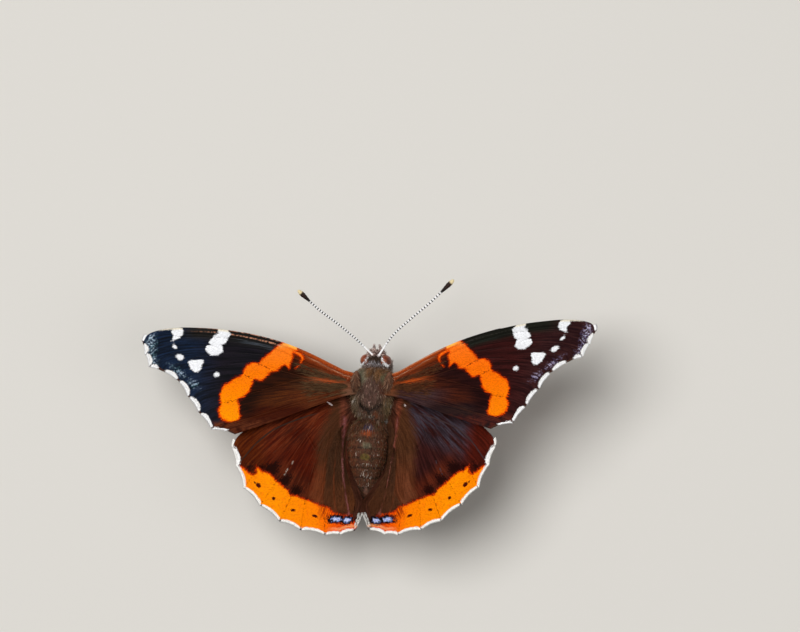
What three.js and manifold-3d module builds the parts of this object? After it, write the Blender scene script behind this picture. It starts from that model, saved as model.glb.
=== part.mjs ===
// A red admiral butterfly at life size, standing with its wings spread.
// Millimetres. +Y is forward, towards the head, +X the animal's right side, +Z up.
// It is modelled round the middle of the thorax and set on the floor at the end.

import * as THREE from 'three';
import { mergeVertices } from 'three/addons/utils/BufferGeometryUtils.js';
import Module from 'manifold-3d';

const wasm = await Module();
wasm.setup();

// Driving dimensions
const STAND_HEIGHT = 8;            // middle of the thorax above the floor
const GAP = 0.3;                   // clear space where one piece meets the next
const MEMBRANE = 0.5;              // thickness of a wing between its veins
const VEIN_RISE = 0.13;            // how far a vein stands out of the wing's upper face
const VEIN_DROP = 0.07;            // and out of its lower face
const VEIN_HALF_WIDTH = 0.34;
const SHARP_TURN = 0.5;            // cosine of the turn past which a cell has a corner
const ROOT_SWELL = 0.4;            // extra thickness of a wing at its root
const ROOT_REACH = 2;
const SCALLOP = 0.1;               // depth of the margin between two vein tips, of their distance
const SCALLOP_SPANS = 5;
const STEP = 1.8;                  // distance between points along a vein
const FOOT_ROOM = 0.4;             // most of a cell's room that the foot of a vein may take
const LIMB_SIDES = 8;
const COIL_SIDES = 6;
const CLAW_SIDES = 5;
const OVOID_SIDES = 16;
const OVOID_RINGS = 11;

// Each wing turns about its hinge on the thorax: raise lifts its tip, twist its front edge,
// and sweep carries the tip forward.
const FORE_HINGE = new THREE.Vector3(2.5, 2.1, 2.1);
const HIND_HINGE = new THREE.Vector3(2.5, -1.5, 1);
const POSE = {
  forewing_left: { side: -1, hinge: FORE_HINGE, raise: 7, twist: -4, sweep: -5.9 },
  forewing_right: { side: 1, hinge: FORE_HINGE, raise: 18.2, twist: -9, sweep: 0.5 },
  hindwing_left: { side: -1, hinge: HIND_HINGE, raise: 7.7, twist: -4, sweep: -6.8 },
  hindwing_right: { side: 1, hinge: HIND_HINGE, raise: 17.1, twist: -8, sweep: -1.8 },
};

// Forewing, spread flat: x outwards from the hinge, y forward. Points where veins start, part
// and end; lines between them, with the points that bend them; and the cells they close.
const FOREWING = {
  points: {
    rootC: [0.2, -0.1], rootR: [0.3, -0.7], rootCu: [0.3, -1.3], rootA: [0.3, -2.1],
    rootIn: [0.3, -2.8], scTip: [14.6, 6.55], cellTop: [11.6, 4.45], fork: [21.8, 6.3],
    cellMid: [12.1, 3.2], cellLow: [12.2, 1.8], cuFork1: [9.3, 0.7], cuFork2: [6.3, -0.3],
    r4: [28.4, 5.7], r5: [28.05, 4.25], m1: [27.45, 2.3], m2: [25.8, 1.65], m3: [23.55, 0.15],
    cuA1: [22.15, -2.15], cuA2: [20.7, -4.45], a2: [19.05, -6.7], tornus: [16.1, -7.5],
  },
  lines: {
    costa: ['rootC', 'scTip', [3.3, 1.7], [6.1, 3.3], [8.8, 4.6], [11.4, 5.6]],
    apexEdge: ['scTip', 'r4', [17.4, 7.2], [20.7, 7.65], [23.5, 7.85], [26.1, 7.65], [27.7, 7.05]],
    sc: ['rootR', 'scTip', [3.5, 1], [7, 3], [11, 4.95]],
    radius: ['rootR', 'cellTop', [4, 0.6], [8, 2.6]],
    radial: ['cellTop', 'fork', [16.5, 5.8]],
    veinR4: ['fork', 'r4', [25.2, 6.5]],
    veinR5: ['fork', 'r5', [25.2, 5.6]],
    veinM1: ['cellTop', 'm1', [17, 4.9], [23.3, 4.4]],
    veinM2: ['cellMid', 'm2', [17, 3.7], [21.3, 3.3]],
    veinM3: ['cellLow', 'm3', [15, 2.2], [19, 1.4]],
    cross1: ['cellTop', 'cellMid'],
    cross2: ['cellMid', 'cellLow'],
    cubitus1: ['rootCu', 'cuFork2', [3.2, -0.9]],
    cubitus2: ['cuFork2', 'cuFork1'],
    cubitus3: ['cuFork1', 'cellLow'],
    veinCuA1: ['cuFork1', 'cuA1', [13.2, 0.3], [17.8, -0.7]],
    veinCuA2: ['cuFork2', 'cuA2', [12, -1.7], [16.9, -3.1]],
    anal: ['rootA', 'a2', [6, -3.3], [13, -5.2]],
    inner: ['tornus', 'rootIn', [12.5, -6.5], [9.5, -5.6], [5.5, -4.3], [2.2, -3.3]],
    rootIR: ['rootIn', 'rootA'], rootAC: ['rootA', 'rootCu'],
    rootCR: ['rootCu', 'rootR'], rootRC: ['rootR', 'rootC'],
  },
  margin: ['r4', 'r5', 'm1', 'm2', 'm3', 'cuA1', 'cuA2', 'a2', 'tornus'],
  cells: [
    'costa -sc rootRC',
    'sc apexEdge -veinR4 -radial -radius',
    'veinR4 r4_r5 -veinR5',
    'radial veinR5 r5_m1 -veinM1',
    'veinM1 m1_m2 -veinM2 -cross1',
    'veinM2 m2_m3 -veinM3 -cross2',
    'veinM3 m3_cuA1 -veinCuA1 cubitus3',
    'veinCuA1 cuA1_cuA2 -veinCuA2 cubitus2',
    'veinCuA2 cuA2_a2 -anal rootAC cubitus1',
    'anal a2_tornus inner rootIR',
    'radius cross1 cross2 -cubitus3 -cubitus2 -cubitus1 rootCR',
  ],
  // The sheet droops towards its tip and its front and hind edges.
  camber: (x, y) => -(x ** 2) / 900 - (y + 4) ** 2 / 80,
};

// Hindwing, in the same way. Inside its last vein the sheet folds down beside the abdomen.
const FOLD_LINE = 1.75;
const FOLD_SLOPE = 1.1;
const FOLD_LENGTH = 16.5;
const HINDWING = {
  points: {
    rootC: [0.2, 1], rootR: [0.3, 0.3], rootCu: [0.3, -0.5], root2: [0.3, -1.1],
    root3: [0.3, -1.6], rootIn: [0.2, -2.1], radFork: [4.6, -1.3], cellMid: [6.3, -4.2],
    cellLow: [5.3, -6.3], cuFork1: [4.5, -5.3], cuFork2: [3.3, -3.9],
    apex: [16.35, -5.5], rs: [15.9, -7.8], m1: [15, -10.8], m2: [12.9, -13.3], m3: [10.4, -15.55],
    cuA1: [7.65, -16.9], cuA2: [4.4, -17.75], a2: [2.4, -17.75], tornus: [0.55, -17.4],
  },
  lines: {
    costa: ['rootC', 'apex', [3, 1.6], [7, 0.8], [11, -0.9], [14.2, -2.7], [15.75, -4.05]],
    sc: ['rootR', 'apex', [5, 0], [10, -1.7], [14, -3.7]],
    radius: ['rootR', 'radFork', [2.4, -0.4]],
    veinRs: ['radFork', 'rs', [8.5, -2.9], [12.8, -5.2]],
    veinM1: ['radFork', 'm1', [8.2, -4.2], [12.3, -7.7]],
    veinM2: ['cellMid', 'm2', [9.6, -8.9]],
    veinM3: ['cellLow', 'm3', [7.9, -10.9]],
    veinCuA1: ['cuFork1', 'cuA1', [6.4, -11.2]],
    veinCuA2: ['cuFork2', 'cuA2', [4.4, -10.4]],
    veinA2: ['root2', 'a2', [2.3, -6], [3, -12]],
    veinA3: ['root3', 'tornus', [1.5, -4.5], [1.75, -8.5], [1.6, -12], [1.1, -15.2]],
    cross1: ['radFork', 'cellMid'],
    cross2: ['cellMid', 'cellLow'],
    cubitus1: ['rootCu', 'cuFork2'],
    cubitus2: ['cuFork2', 'cuFork1'],
    cubitus3: ['cuFork1', 'cellLow'],
    inner: ['tornus', 'rootIn', [-0.5, -15.5], [-0.9, -14.2], [-0.8, -12.6], [-0.2, -10.5], [0.2, -7],
      [0.2, -3.8]],
    rootI3: ['rootIn', 'root3'], root32: ['root3', 'root2'], root2C: ['root2', 'rootCu'],
    rootCR: ['rootCu', 'rootR'], rootRC: ['rootR', 'rootC'],
  },
  margin: ['apex', 'rs', 'm1', 'm2', 'm3', 'cuA1', 'cuA2', 'a2', 'tornus'],
  cells: [
    'costa -sc rootRC',
    'sc apex_rs -veinRs -radius',
    'veinRs rs_m1 -veinM1',
    'veinM1 m1_m2 -veinM2 -cross1',
    'veinM2 m2_m3 -veinM3 -cross2',
    'veinM3 m3_cuA1 -veinCuA1 cubitus3',
    'veinCuA1 cuA1_cuA2 -veinCuA2 cubitus2',
    'veinCuA2 cuA2_a2 -veinA2 root2C cubitus1',
    'veinA2 a2_tornus -veinA3 root32',
    'veinA3 inner rootI3',
    'radius cross1 cross2 -cubitus3 -cubitus2 -cubitus1 rootCR',
  ],
  camber: (x, y) => {
    const along = THREE.MathUtils.clamp(-y / FOLD_LENGTH, 0, 1);
    const fold = FOLD_SLOPE * Math.max(0, FOLD_LINE - x) * Math.sin(Math.PI * along);
    return -(x ** 2) / 500 - (y + 8) ** 2 / 260 - fold;
  },
};

// Cross-sections of the trunk from back to front: half width, and height above and below
// the axis, which runs at height z and may lean aside by x.
const THORAX = [
  { y: -3.5, half: 1.3, top: 1.2, bottom: 1.1, z: 0 },
  { y: -3.1, half: 1.95, top: 1.75, bottom: 1.7, z: 0 },
  { y: -2.2, half: 2.5, top: 2.3, bottom: 2.15, z: 0 },
  { y: -0.9, half: 2.85, top: 2.6, bottom: 2.45, z: 0 },
  { y: 0.6, half: 2.9, top: 2.65, bottom: 2.45, z: 0 },
  { y: 1.8, half: 2.55, top: 2.35, bottom: 2.15, z: 0 },
  { y: 2.7, half: 1.95, top: 1.8, bottom: 1.6, z: 0 },
  { y: 3.3, half: 1.3, top: 1.3, bottom: 1.1, z: 0 },
];
const ABDOMEN = [
  { y: -14.2, half: 0.3, top: 0.3, bottom: 0.3, z: -1.25, x: -0.52 },
  { y: -13.5, half: 0.75, top: 0.65, bottom: 0.65, z: -1.15, x: -0.46 },
  { y: -12.1, half: 1.5, top: 1.2, bottom: 1.2, z: -0.95, x: -0.38 },
  { y: -10.4, half: 2.3, top: 1.65, bottom: 1.65, z: -0.7, x: -0.34 },
  { y: -8.8, half: 2.75, top: 1.9, bottom: 1.85, z: -0.5, x: -0.36 },
  { y: -7.2, half: 2.85, top: 1.95, bottom: 1.9, z: -0.38, x: -0.42 },
  { y: -5.6, half: 2.65, top: 1.8, bottom: 1.8, z: -0.25, x: -0.4 },
  { y: -4.5, half: 2.2, top: 1.55, bottom: 1.6, z: -0.15, x: -0.3 },
  { y: -3.8, half: 1.5, top: 1.15, bottom: 1.25, z: -0.1, x: -0.2 },
];
const ABDOMEN_SEGMENTS = 8;
const SEGMENT_GROOVE = 0.05;       // depth of the groove between segments, of the radius
const SEGMENT_CROWN = 0.6;         // how soon a segment swells from its groove
const HEAD = [
  { y: 3.6, half: 0.9, top: 0.85, bottom: 0.75, z: 0 },
  { y: 3.85, half: 1.25, top: 1.2, bottom: 1.1, z: 0 },
  { y: 4.4, half: 1.35, top: 1.4, bottom: 1.3, z: 0 },
  { y: 5, half: 1.15, top: 1.15, bottom: 1.1, z: -0.02 },
  { y: 5.4, half: 0.75, top: 0.7, bottom: 0.75, z: -0.08 },
  { y: 5.55, half: 0.4, top: 0.35, bottom: 0.4, z: -0.12 },
];
const EYE = { x: 1.3, y: 4.15, z: 0.05, across: 0.8, along: 0.85, high: 1.1 };
const TEGULA = { x: 2.35, y: 1.35, z: 2.6, across: 0.68, along: 1.2, high: 0.42 };
const TEGULA_SLANT = 0.35;

// Limbs and feelers as joints along their axis: x outwards, y, z, and the radius there.
const PALP = [[0.5, 4.7, -0.85, 0.3], [0.52, 5.35, -0.88, 0.34], [0.5, 5.8, -0.5, 0.34],
  [0.45, 6.05, -0.1, 0.26], [0.42, 6.2, 0.18, 0.12]];
const FORELEG = [[0.95, 2.3, -1.5, 0.42], [1.15, 2.6, -2.4, 0.4], [1.2, 3.5, -2.75, 0.34],
  [1.2, 4.35, -2.85, 0.3], [1.15, 4.5, -3.15, 0.28], [1.15, 3.9, -3.4, 0.28],
  [1.1, 2.9, -3.45, 0.26], [1.1, 2.4, -3.4, 0.16]];
const MIDLEG = [[1.1, 0.5, -1.9, 0.6], [1.5, 0.6, -3.1, 0.48], [1.95, 0.8, -3.45, 0.36],
  [3.9, 1.5, -3.15, 0.42], [5.9, 2.2, -2.85, 0.32], [6.35, 2.4, -3.15, 0.28],
  [7.1, 2.9, -5.3, 0.29], [7.8, 3.4, -7.3, 0.26],
  [8.05, 3.6, -7.72, 0.26], [8.9, 4, -7.8, 0.27], [10.1, 4.45, -7.8, 0.26], [10.55, 4.6, -7.82, 0.16]];
const HINDLEG = [[1, -1.5, -1.8, 0.6], [1.4, -1.9, -3, 0.48], [1.75, -2.2, -3.35, 0.36],
  [3.2, -3.9, -3.15, 0.42], [4.8, -5.8, -2.9, 0.32], [5.1, -6.2, -3.2, 0.28],
  [5.9, -7.9, -5.3, 0.29], [6.7, -9.6, -7.3, 0.26],
  [6.9, -10, -7.72, 0.26], [7.3, -10.9, -7.8, 0.27], [7.9, -12.3, -7.8, 0.26], [8.1, -12.8, -7.82, 0.16]];
const CLAW = { length: 0.55, radius: 0.13, spread: 0.5, sunk: 0.2, droop: 0.08 };
const ANTENNA = { shaft: 0.25, club: 0.38, scape: 0.1, spans: 14, taper: 0.75 };
const CLUB_START = 0.84;           // where the club begins and is full, and where its tip starts,
const CLUB_FULL = 0.93;            // as shares of the antenna
const CLUB_TIP = 0.95;
const ANTENNAE = {
  antenna_left: [[-0.3, 4.55, 0.9], [-4.85, 8.45, 4.2], [-9.5, 12.05, 7.6]],
  antenna_right: [[0.45, 4.55, 0.9], [5.55, 9.85, 3.3], [10.6, 14.75, 4.2]],
};
const COIL = {
  y: 4.3, z: -2.3, start: 0.85, end: 0.07, from: 70, turns: 1.35, tube: 0.2, tip: 0.13, spans: 18,
};

// Closed solids from three.js geometry

// A geometry as a solid: like points merged, flat triangles dropped, faces turned outwards.
function solid(geometry) {
  const bare = geometry.clone();
  bare.deleteAttribute('normal');
  bare.deleteAttribute('uv');
  const merged = mergeVertices(bare, 1e-4);
  const place = merged.attributes.position;
  const corners = merged.index.array;
  const kept = [];
  let volume = 0;
  const [a, b, c] = [new THREE.Vector3(), new THREE.Vector3(), new THREE.Vector3()];
  for (let i = 0; i < corners.length; i += 3) {
    const [p, q, r] = corners.slice(i, i + 3);
    if (p === q || q === r || r === p) continue;
    kept.push(p, q, r);
    a.fromBufferAttribute(place, p);
    b.fromBufferAttribute(place, q);
    c.fromBufferAttribute(place, r);
    volume += a.dot(b.cross(c)) / 6;
  }
  if (volume < 0) kept.reverse();
  return new wasm.Manifold(new wasm.Mesh({
    numProp: 3,
    vertProperties: new Float32Array(place.array),
    triVerts: new Uint32Array(kept),
  }));
}

// Only the largest closed surface of a solid that a cut may have left in pieces.
function largest(body) {
  return body.decompose().reduce((best, piece) => (piece.volume() > best.volume() ? piece : best));
}

function piece(name, body, material) {
  const cut = largest(body).getMesh();
  const geometry = new THREE.BufferGeometry();
  geometry.setAttribute('position', new THREE.BufferAttribute(cut.vertProperties, 3));
  geometry.setIndex(new THREE.BufferAttribute(cut.triVerts, 1));
  geometry.computeVertexNormals();
  const mesh = new THREE.Mesh(geometry, material);
  mesh.name = name;
  return mesh;
}

// A lathed rod whose rings are then laid out one by one: each has a centre and the vectors
// across, up and down that reach its skin.
function sleeve(rings, sides) {
  const last = rings.length + 1;
  const profile = [new THREE.Vector2(0, 0)];
  rings.forEach((ring, i) => profile.push(new THREE.Vector2(1, i + 1)));
  profile.push(new THREE.Vector2(0, last));
  const geometry = new THREE.LatheGeometry(profile, sides);
  const place = geometry.attributes.position;
  const point = new THREE.Vector3();
  for (let i = 0; i < place.count; i += 1) {
    const level = Math.round(place.getY(i));
    const ring = rings[THREE.MathUtils.clamp(level - 1, 0, rings.length - 1)];
    const cos = place.getX(i);
    const sin = place.getZ(i);
    point.copy(ring.centre).addScaledVector(ring.across, cos);
    point.addScaledVector(sin > 0 ? ring.up : ring.down, Math.abs(sin));
    place.setXYZ(i, point.x, point.y, point.z);
  }
  return geometry;
}

// A length of the trunk, its cross-sections smoothed by a curve through the given ones.
function trunk(sections, rings, sides, grow = 0, swell = () => 1) {
  const sizes = sections.map((s) => new THREE.Vector3(s.half, s.top, s.bottom));
  const middles = sections.map((s) => new THREE.Vector3(s.x ?? 0, s.y, s.z));
  const size = new THREE.CatmullRomCurve3(sizes);
  const axis = new THREE.CatmullRomCurve3(middles);
  const list = [];
  for (let i = 0; i <= rings; i += 1) {
    const t = i / rings;
    const reach = size.getPoint(t).multiplyScalar(swell(t)).addScalar(grow);
    const centre = axis.getPoint(t);
    if (i === 0) centre.y -= grow;
    if (i === rings) centre.y += grow;
    list.push({
      centre,
      across: new THREE.Vector3(reach.x, 0, 0),
      up: new THREE.Vector3(0, 0, reach.y),
      down: new THREE.Vector3(0, 0, -reach.z),
    });
  }
  return solid(sleeve(list, sides));
}

// A limb through its joints, round in section; aside is a direction that it never runs along.
function limb(joints, aside, sides, perJoint = 2) {
  const stops = joints.map(([x, y, z]) => new THREE.Vector3(x, y, z));
  const path = new THREE.CatmullRomCurve3(stops, false, 'centripetal');
  const count = (joints.length - 1) * perJoint;
  const rings = [];
  for (let i = 0; i <= count; i += 1) {
    const t = i / count;
    const at = t * (joints.length - 1);
    const from = Math.min(Math.floor(at), joints.length - 2);
    const radius = THREE.MathUtils.lerp(joints[from][3], joints[from + 1][3], at - from);
    const along = path.getTangent(t);
    const across = new THREE.Vector3().crossVectors(along, aside).normalize().multiplyScalar(radius);
    const up = new THREE.Vector3().crossVectors(along, across).normalize().multiplyScalar(radius);
    rings.push({ centre: path.getPoint(t), across, up, down: up.clone().negate() });
  }
  return solid(sleeve(rings, sides));
}

function mirrored(joints, side) {
  return joints.map(([x, ...rest]) => [x * side, ...rest]);
}

function ovoid({ x, y, z, across, along, high }, side, grow = 0, turn = new THREE.Euler()) {
  const ball = new THREE.SphereGeometry(1, OVOID_SIDES, OVOID_RINGS);
  ball.scale(across + grow, along + grow, high + grow);
  ball.rotateX(turn.x);
  ball.rotateY(turn.y * side);
  ball.translate(x * side, y, z);
  return solid(ball);
}

// Wings

// Points about one step apart along a line of the wing, through the points that bend it.
function traceLine(wing, [from, to, ...bends]) {
  const places = [wing.points[from], ...bends, wing.points[to]];
  const stops = places.map(([x, y]) => new THREE.Vector3(x, y, 0));
  const curve = new THREE.CatmullRomCurve3(stops, false, 'centripetal');
  const spans = Math.max(1, Math.round(curve.getLength() / STEP));
  return curve.getSpacedPoints(spans).map((p) => new THREE.Vector2(p.x, p.y));
}

// The margin from one vein tip to the next, curved inwards.
function traceScallop(start, end) {
  const [a, b] = [new THREE.Vector2(...start), new THREE.Vector2(...end)];
  const along = b.clone().sub(a);
  const inwards = new THREE.Vector2(along.y, -along.x).multiplyScalar(SCALLOP * 4);
  const points = [];
  for (let i = 0; i <= SCALLOP_SPANS; i += 1) {
    const t = i / SCALLOP_SPANS;
    points.push(a.clone().addScaledVector(along, t).addScaledVector(inwards, t * (1 - t)));
  }
  return points;
}

function traceWing(wing) {
  const lines = {};
  for (const [name, stops] of Object.entries(wing.lines)) lines[name] = traceLine(wing, stops);
  for (let i = 1; i < wing.margin.length; i += 1) {
    const [from, to] = [wing.margin[i - 1], wing.margin[i]];
    lines[`${from}_${to}`] = traceScallop(wing.points[from], wing.points[to]);
  }
  return lines;
}

// The closed outline of a cell from its lines; a line with a minus sign runs backwards.
function cellOutline(lines, cell) {
  const outline = [];
  for (const word of cell.split(' ')) {
    const points = word.startsWith('-') ? [...lines[word.slice(1)]].reverse() : lines[word];
    outline.push(...points.slice(0, -1));
  }
  return THREE.ShapeUtils.area(outline) < 0 ? outline.reverse() : outline;
}

function distanceToSegment(point, a, b) {
  const along = b.clone().sub(a);
  const t = THREE.MathUtils.clamp(point.clone().sub(a).dot(along) / along.lengthSq(), 0, 1);
  return point.distanceTo(a.clone().addScaledVector(along, t));
}

// The foot of the veins inside a cell: its outline moved inwards, less where the cell is narrow
// and at its sharp corners.
function footOutline(outline) {
  const count = outline.length;
  const at = (i) => outline[(i + count) % count];
  const heading = (i) => at(i + 1).clone().sub(at(i)).normalize();
  const isSharp = (i) => heading(i - 1).dot(heading(i)) < SHARP_TURN;
  return outline.map((point, i) => {
    const [into, out] = [heading(i - 1), heading(i)];
    const inwards = new THREE.Vector2(-into.y - out.y, into.x + out.x);
    const lean = Math.max(inwards.length() / 2, SHARP_TURN);
    inwards.normalize();
    let room = isSharp(i) ? Math.min(point.distanceTo(at(i - 1)), point.distanceTo(at(i + 1))) : Infinity;
    for (let k = 1; k < count - 1; k += 1) {
      if (k === 1 && !isSharp(i + 1)) continue;
      if (k === count - 2 && !isSharp(i - 1)) continue;
      const [a, b] = [at(i + k), at(i + k + 1)];
      const ahead = Math.max(a.clone().sub(point).dot(inwards), b.clone().sub(point).dot(inwards));
      if (ahead > 0) room = Math.min(room, distanceToSegment(point, a, b));
    }
    return point.clone().addScaledVector(inwards, Math.min(VEIN_HALF_WIDTH / lean, room * FOOT_ROOM));
  });
}

// The wing as one plate: veins are ridges of its own skin, the same triangles on both faces.
function wingPlate(wing, pose, grow = 0) {
  const lines = traceWing(wing);
  const edgePoints = new Set();
  const key = (p) => `${p.x.toFixed(4)},${p.y.toFixed(4)}`;
  for (let i = 1; i < wing.margin.length; i += 1) {
    for (const p of lines[`${wing.margin[i - 1]}_${wing.margin[i]}`]) edgePoints.add(key(p));
  }
  const faces = [];
  const edges = new Map();
  for (const cell of wing.cells) {
    const crest = cellOutline(lines, cell);
    const foot = footOutline(crest);
    const ridge = (p) => ({ p, vein: edgePoints.has(key(p)) ? 0 : 1 });
    const flat = (p) => ({ p, vein: 0 });
    for (let i = 0; i < crest.length; i += 1) {
      const next = (i + 1) % crest.length;
      faces.push([ridge(crest[i]), ridge(crest[next]), flat(foot[next])]);
      faces.push([ridge(crest[i]), flat(foot[next]), flat(foot[i])]);
      edges.set(`${key(crest[i])} ${key(crest[next])}`, [ridge(crest[i]), ridge(crest[next])]);
    }
    for (const [a, b, c] of THREE.ShapeUtils.triangulateShape(foot, [])) {
      faces.push([flat(foot[a]), flat(foot[b]), flat(foot[c])]);
    }
  }
  const upper = ({ p, vein }) => [p.x, p.y, level(p) + half(p) + vein * VEIN_RISE];
  const lower = ({ p, vein }) => [p.x, p.y, level(p) - half(p) - vein * VEIN_DROP];
  const level = (p) => wing.camber(p.x, p.y);
  const half = (p) => (MEMBRANE + ROOT_SWELL * Math.exp(-((p.x / ROOT_REACH) ** 2))) / 2 + grow;
  const corners = [];
  for (const [a, b, c] of faces) {
    corners.push(...upper(a), ...upper(b), ...upper(c));
    corners.push(...lower(a), ...lower(c), ...lower(b));
  }
  for (const [name, [a, b]] of edges) {
    const [from, to] = name.split(' ');
    if (edges.has(`${to} ${from}`)) continue;
    corners.push(...upper(a), ...lower(a), ...lower(b));
    corners.push(...upper(a), ...lower(b), ...upper(b));
  }
  const geometry = new THREE.BufferGeometry();
  geometry.setAttribute('position', new THREE.Float32BufferAttribute(corners, 3));
  geometry.applyMatrix4(wingPlace(pose));
  return solid(geometry);
}

function wingPlace({ side, hinge, raise, twist, sweep }) {
  const turn = THREE.MathUtils.degToRad;
  const place = new THREE.Matrix4().makeScale(side, 1, 1);
  place.multiply(new THREE.Matrix4().makeTranslation(hinge.x, hinge.y, hinge.z));
  place.multiply(new THREE.Matrix4().makeRotationZ(turn(sweep)));
  place.multiply(new THREE.Matrix4().makeRotationY(-turn(raise)));
  return place.multiply(new THREE.Matrix4().makeRotationX(turn(twist)));
}

// Body

function segmentSwell(t) {
  const phase = (t * ABDOMEN_SEGMENTS) % 1;
  return 1 - SEGMENT_GROOVE * (1 - Math.sin(Math.PI * phase) ** SEGMENT_CROWN);
}

// A leg with its two claws; what would reach below the floor is cut to small flats.
function leg(joints, side, claws) {
  const [hip, toe] = [joints[0], joints.at(-1)].map(([x, y, z]) => new THREE.Vector3(x, y, z));
  const ahead = toe.clone().sub(hip).setZ(0).normalize();
  const across = new THREE.Vector3(-ahead.y, ahead.x, 0);
  const aside = new THREE.Vector3(across.x * side, across.y, 0);
  let body = limb(mirrored(joints, side), aside, LIMB_SIDES);
  if (!claws) return body;
  for (const spread of [-CLAW.spread, CLAW.spread]) {
    const way = ahead.clone().addScaledVector(across, spread).normalize();
    const at = (reach, lift) => [toe.x + way.x * reach, toe.y + way.y * reach, toe.z + lift];
    const claw = [
      [...at(-CLAW.sunk, 0), CLAW.radius],
      [...at(CLAW.length * 0.6, 0), CLAW.radius],
      [...at(CLAW.length, -CLAW.droop), CLAW.radius / 2],
    ];
    body = body.add(limb(mirrored(claw, side), new THREE.Vector3(0, 0, 1), CLAW_SIDES, 1));
  }
  return body.subtract(floor);
}

function antenna(stops) {
  const curve = new THREE.CatmullRomCurve3(stops.map((s) => new THREE.Vector3(...s)));
  const joints = [];
  for (let i = 0; i <= ANTENNA.spans; i += 1) {
    const t = i / ANTENNA.spans;
    const narrowing = 1 - ANTENNA.taper * THREE.MathUtils.smoothstep(t, CLUB_TIP, 1);
    const club = THREE.MathUtils.smoothstep(t, CLUB_START, CLUB_FULL) * narrowing;
    const scape = i === 0 ? ANTENNA.scape : 0;
    const radius = THREE.MathUtils.lerp(ANTENNA.shaft, ANTENNA.club, club) + scape;
    joints.push([...curve.getPoint(t).toArray(), t < 1 ? radius : radius / 2]);
  }
  return limb(joints, new THREE.Vector3(0, 0, 1), LIMB_SIDES, 1);
}

// The tongue, rolled up under the head.
function coil() {
  const joints = [];
  for (let i = 0; i <= COIL.spans; i += 1) {
    const t = i / COIL.spans;
    const angle = THREE.MathUtils.degToRad(COIL.from) - t * COIL.turns * 2 * Math.PI;
    const reach = THREE.MathUtils.lerp(COIL.start, COIL.end, t);
    const radius = THREE.MathUtils.lerp(COIL.tube, COIL.tip, t);
    joints.push([0, COIL.y + reach * Math.cos(angle), COIL.z + reach * Math.sin(angle), radius]);
  }
  return limb(joints, new THREE.Vector3(1, 0, 0), COIL_SIDES, 1);
}

// Materials
const finish = (color, roughness) => new THREE.MeshStandardMaterial({ color, roughness, metalness: 0 });
const scales = finish(0x2a150e, 0.75);
const hindScales = finish(0x5a2410, 0.75);
const coat = finish(0x4a382a, 0.9);
const cuticle = finish(0x3a2a1e, 0.55);
const eyeFinish = finish(0x8a4a28, 0.3);
const feelerFinish = finish(0x2a211c, 0.5);

// Assembly
const butterfly = new THREE.Group();
butterfly.name = 'red_admiral';

const floorWide = 60;
const floorDeep = 4;
const floorBox = new THREE.BoxGeometry(floorWide, floorWide, floorDeep);
floorBox.translate(0, 0, -STAND_HEIGHT - floorDeep / 2);
const floor = solid(floorBox);

// How finely each part of the trunk is drawn: rings along it and sides round it.
const HEAD_MESH = [10, 20];
const THORAX_MESH = [14, 24];
const ABDOMEN_MESH = [ABDOMEN_SEGMENTS * 4, 18];

const bothEyes = (grow) => ovoid(EYE, -1, grow).add(ovoid(EYE, 1, grow));
const headGrown = trunk(HEAD, ...HEAD_MESH, GAP);
const thoraxGrown = trunk(THORAX, ...THORAX_MESH, GAP);
const abdomenGrown = trunk(ABDOMEN, ...ABDOMEN_MESH, GAP);

butterfly.add(piece('head', trunk(HEAD, ...HEAD_MESH).subtract(bothEyes(GAP / 2)), coat));
butterfly.add(piece('thorax', trunk(THORAX, ...THORAX_MESH).subtract(bothEyes(GAP)), coat));
butterfly.add(piece('abdomen', trunk(ABDOMEN, ...ABDOMEN_MESH, 0, segmentSwell), coat));
butterfly.add(piece('proboscis', coil().subtract(headGrown), cuticle));

for (const [name, pose] of Object.entries(POSE)) {
  const [shape, look] = name.startsWith('fore') ? [FOREWING, scales] : [HINDWING, hindScales];
  const plate = wingPlate(shape, pose).subtract(thoraxGrown).subtract(abdomenGrown);
  butterfly.add(piece(name, plate, look));
}

for (const [word, side] of [['left', -1], ['right', 1]]) {
  butterfly.add(piece(`eye_${word}`, ovoid(EYE, side), eyeFinish));
  const aside = new THREE.Vector3(1, 0, 0);
  const palp = limb(mirrored(PALP, side), aside, LIMB_SIDES).subtract(headGrown);
  butterfly.add(piece(`palp_${word}`, palp, coat));
  const feeler = antenna(ANTENNAE[`antenna_${word}`]).subtract(headGrown);
  butterfly.add(piece(`antenna_${word}`, feeler, feelerFinish));
  const wingGrown = wingPlate(FOREWING, POSE[`forewing_${word}`], GAP);
  const cover = ovoid(TEGULA, side, 0, new THREE.Euler(0, TEGULA_SLANT, 0));
  butterfly.add(piece(`tegula_${word}`, cover.subtract(thoraxGrown).subtract(wingGrown), coat));
  butterfly.add(piece(`foreleg_${word}`, leg(FORELEG, side, false).subtract(thoraxGrown), coat));
  butterfly.add(piece(`midleg_${word}`, leg(MIDLEG, side, true).subtract(thoraxGrown), cuticle));
  butterfly.add(piece(`hindleg_${word}`, leg(HINDLEG, side, true).subtract(thoraxGrown), cuticle));
}

// The origin is under the middle of the whole, on the floor.
const bounds = new THREE.Box3().setFromObject(butterfly);
const middle = bounds.getCenter(new THREE.Vector3());
butterfly.position.set(-middle.x, -middle.y, -bounds.min.z);

export default butterfly;
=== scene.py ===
# A red admiral butterfly at life size, standing with its wings spread.
# Sizes are in millimetres round the middle of the thorax: x to the animal's right, y ahead, z up.

import math

import bpy
import numpy as np
from mathutils import Matrix, Vector


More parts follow.
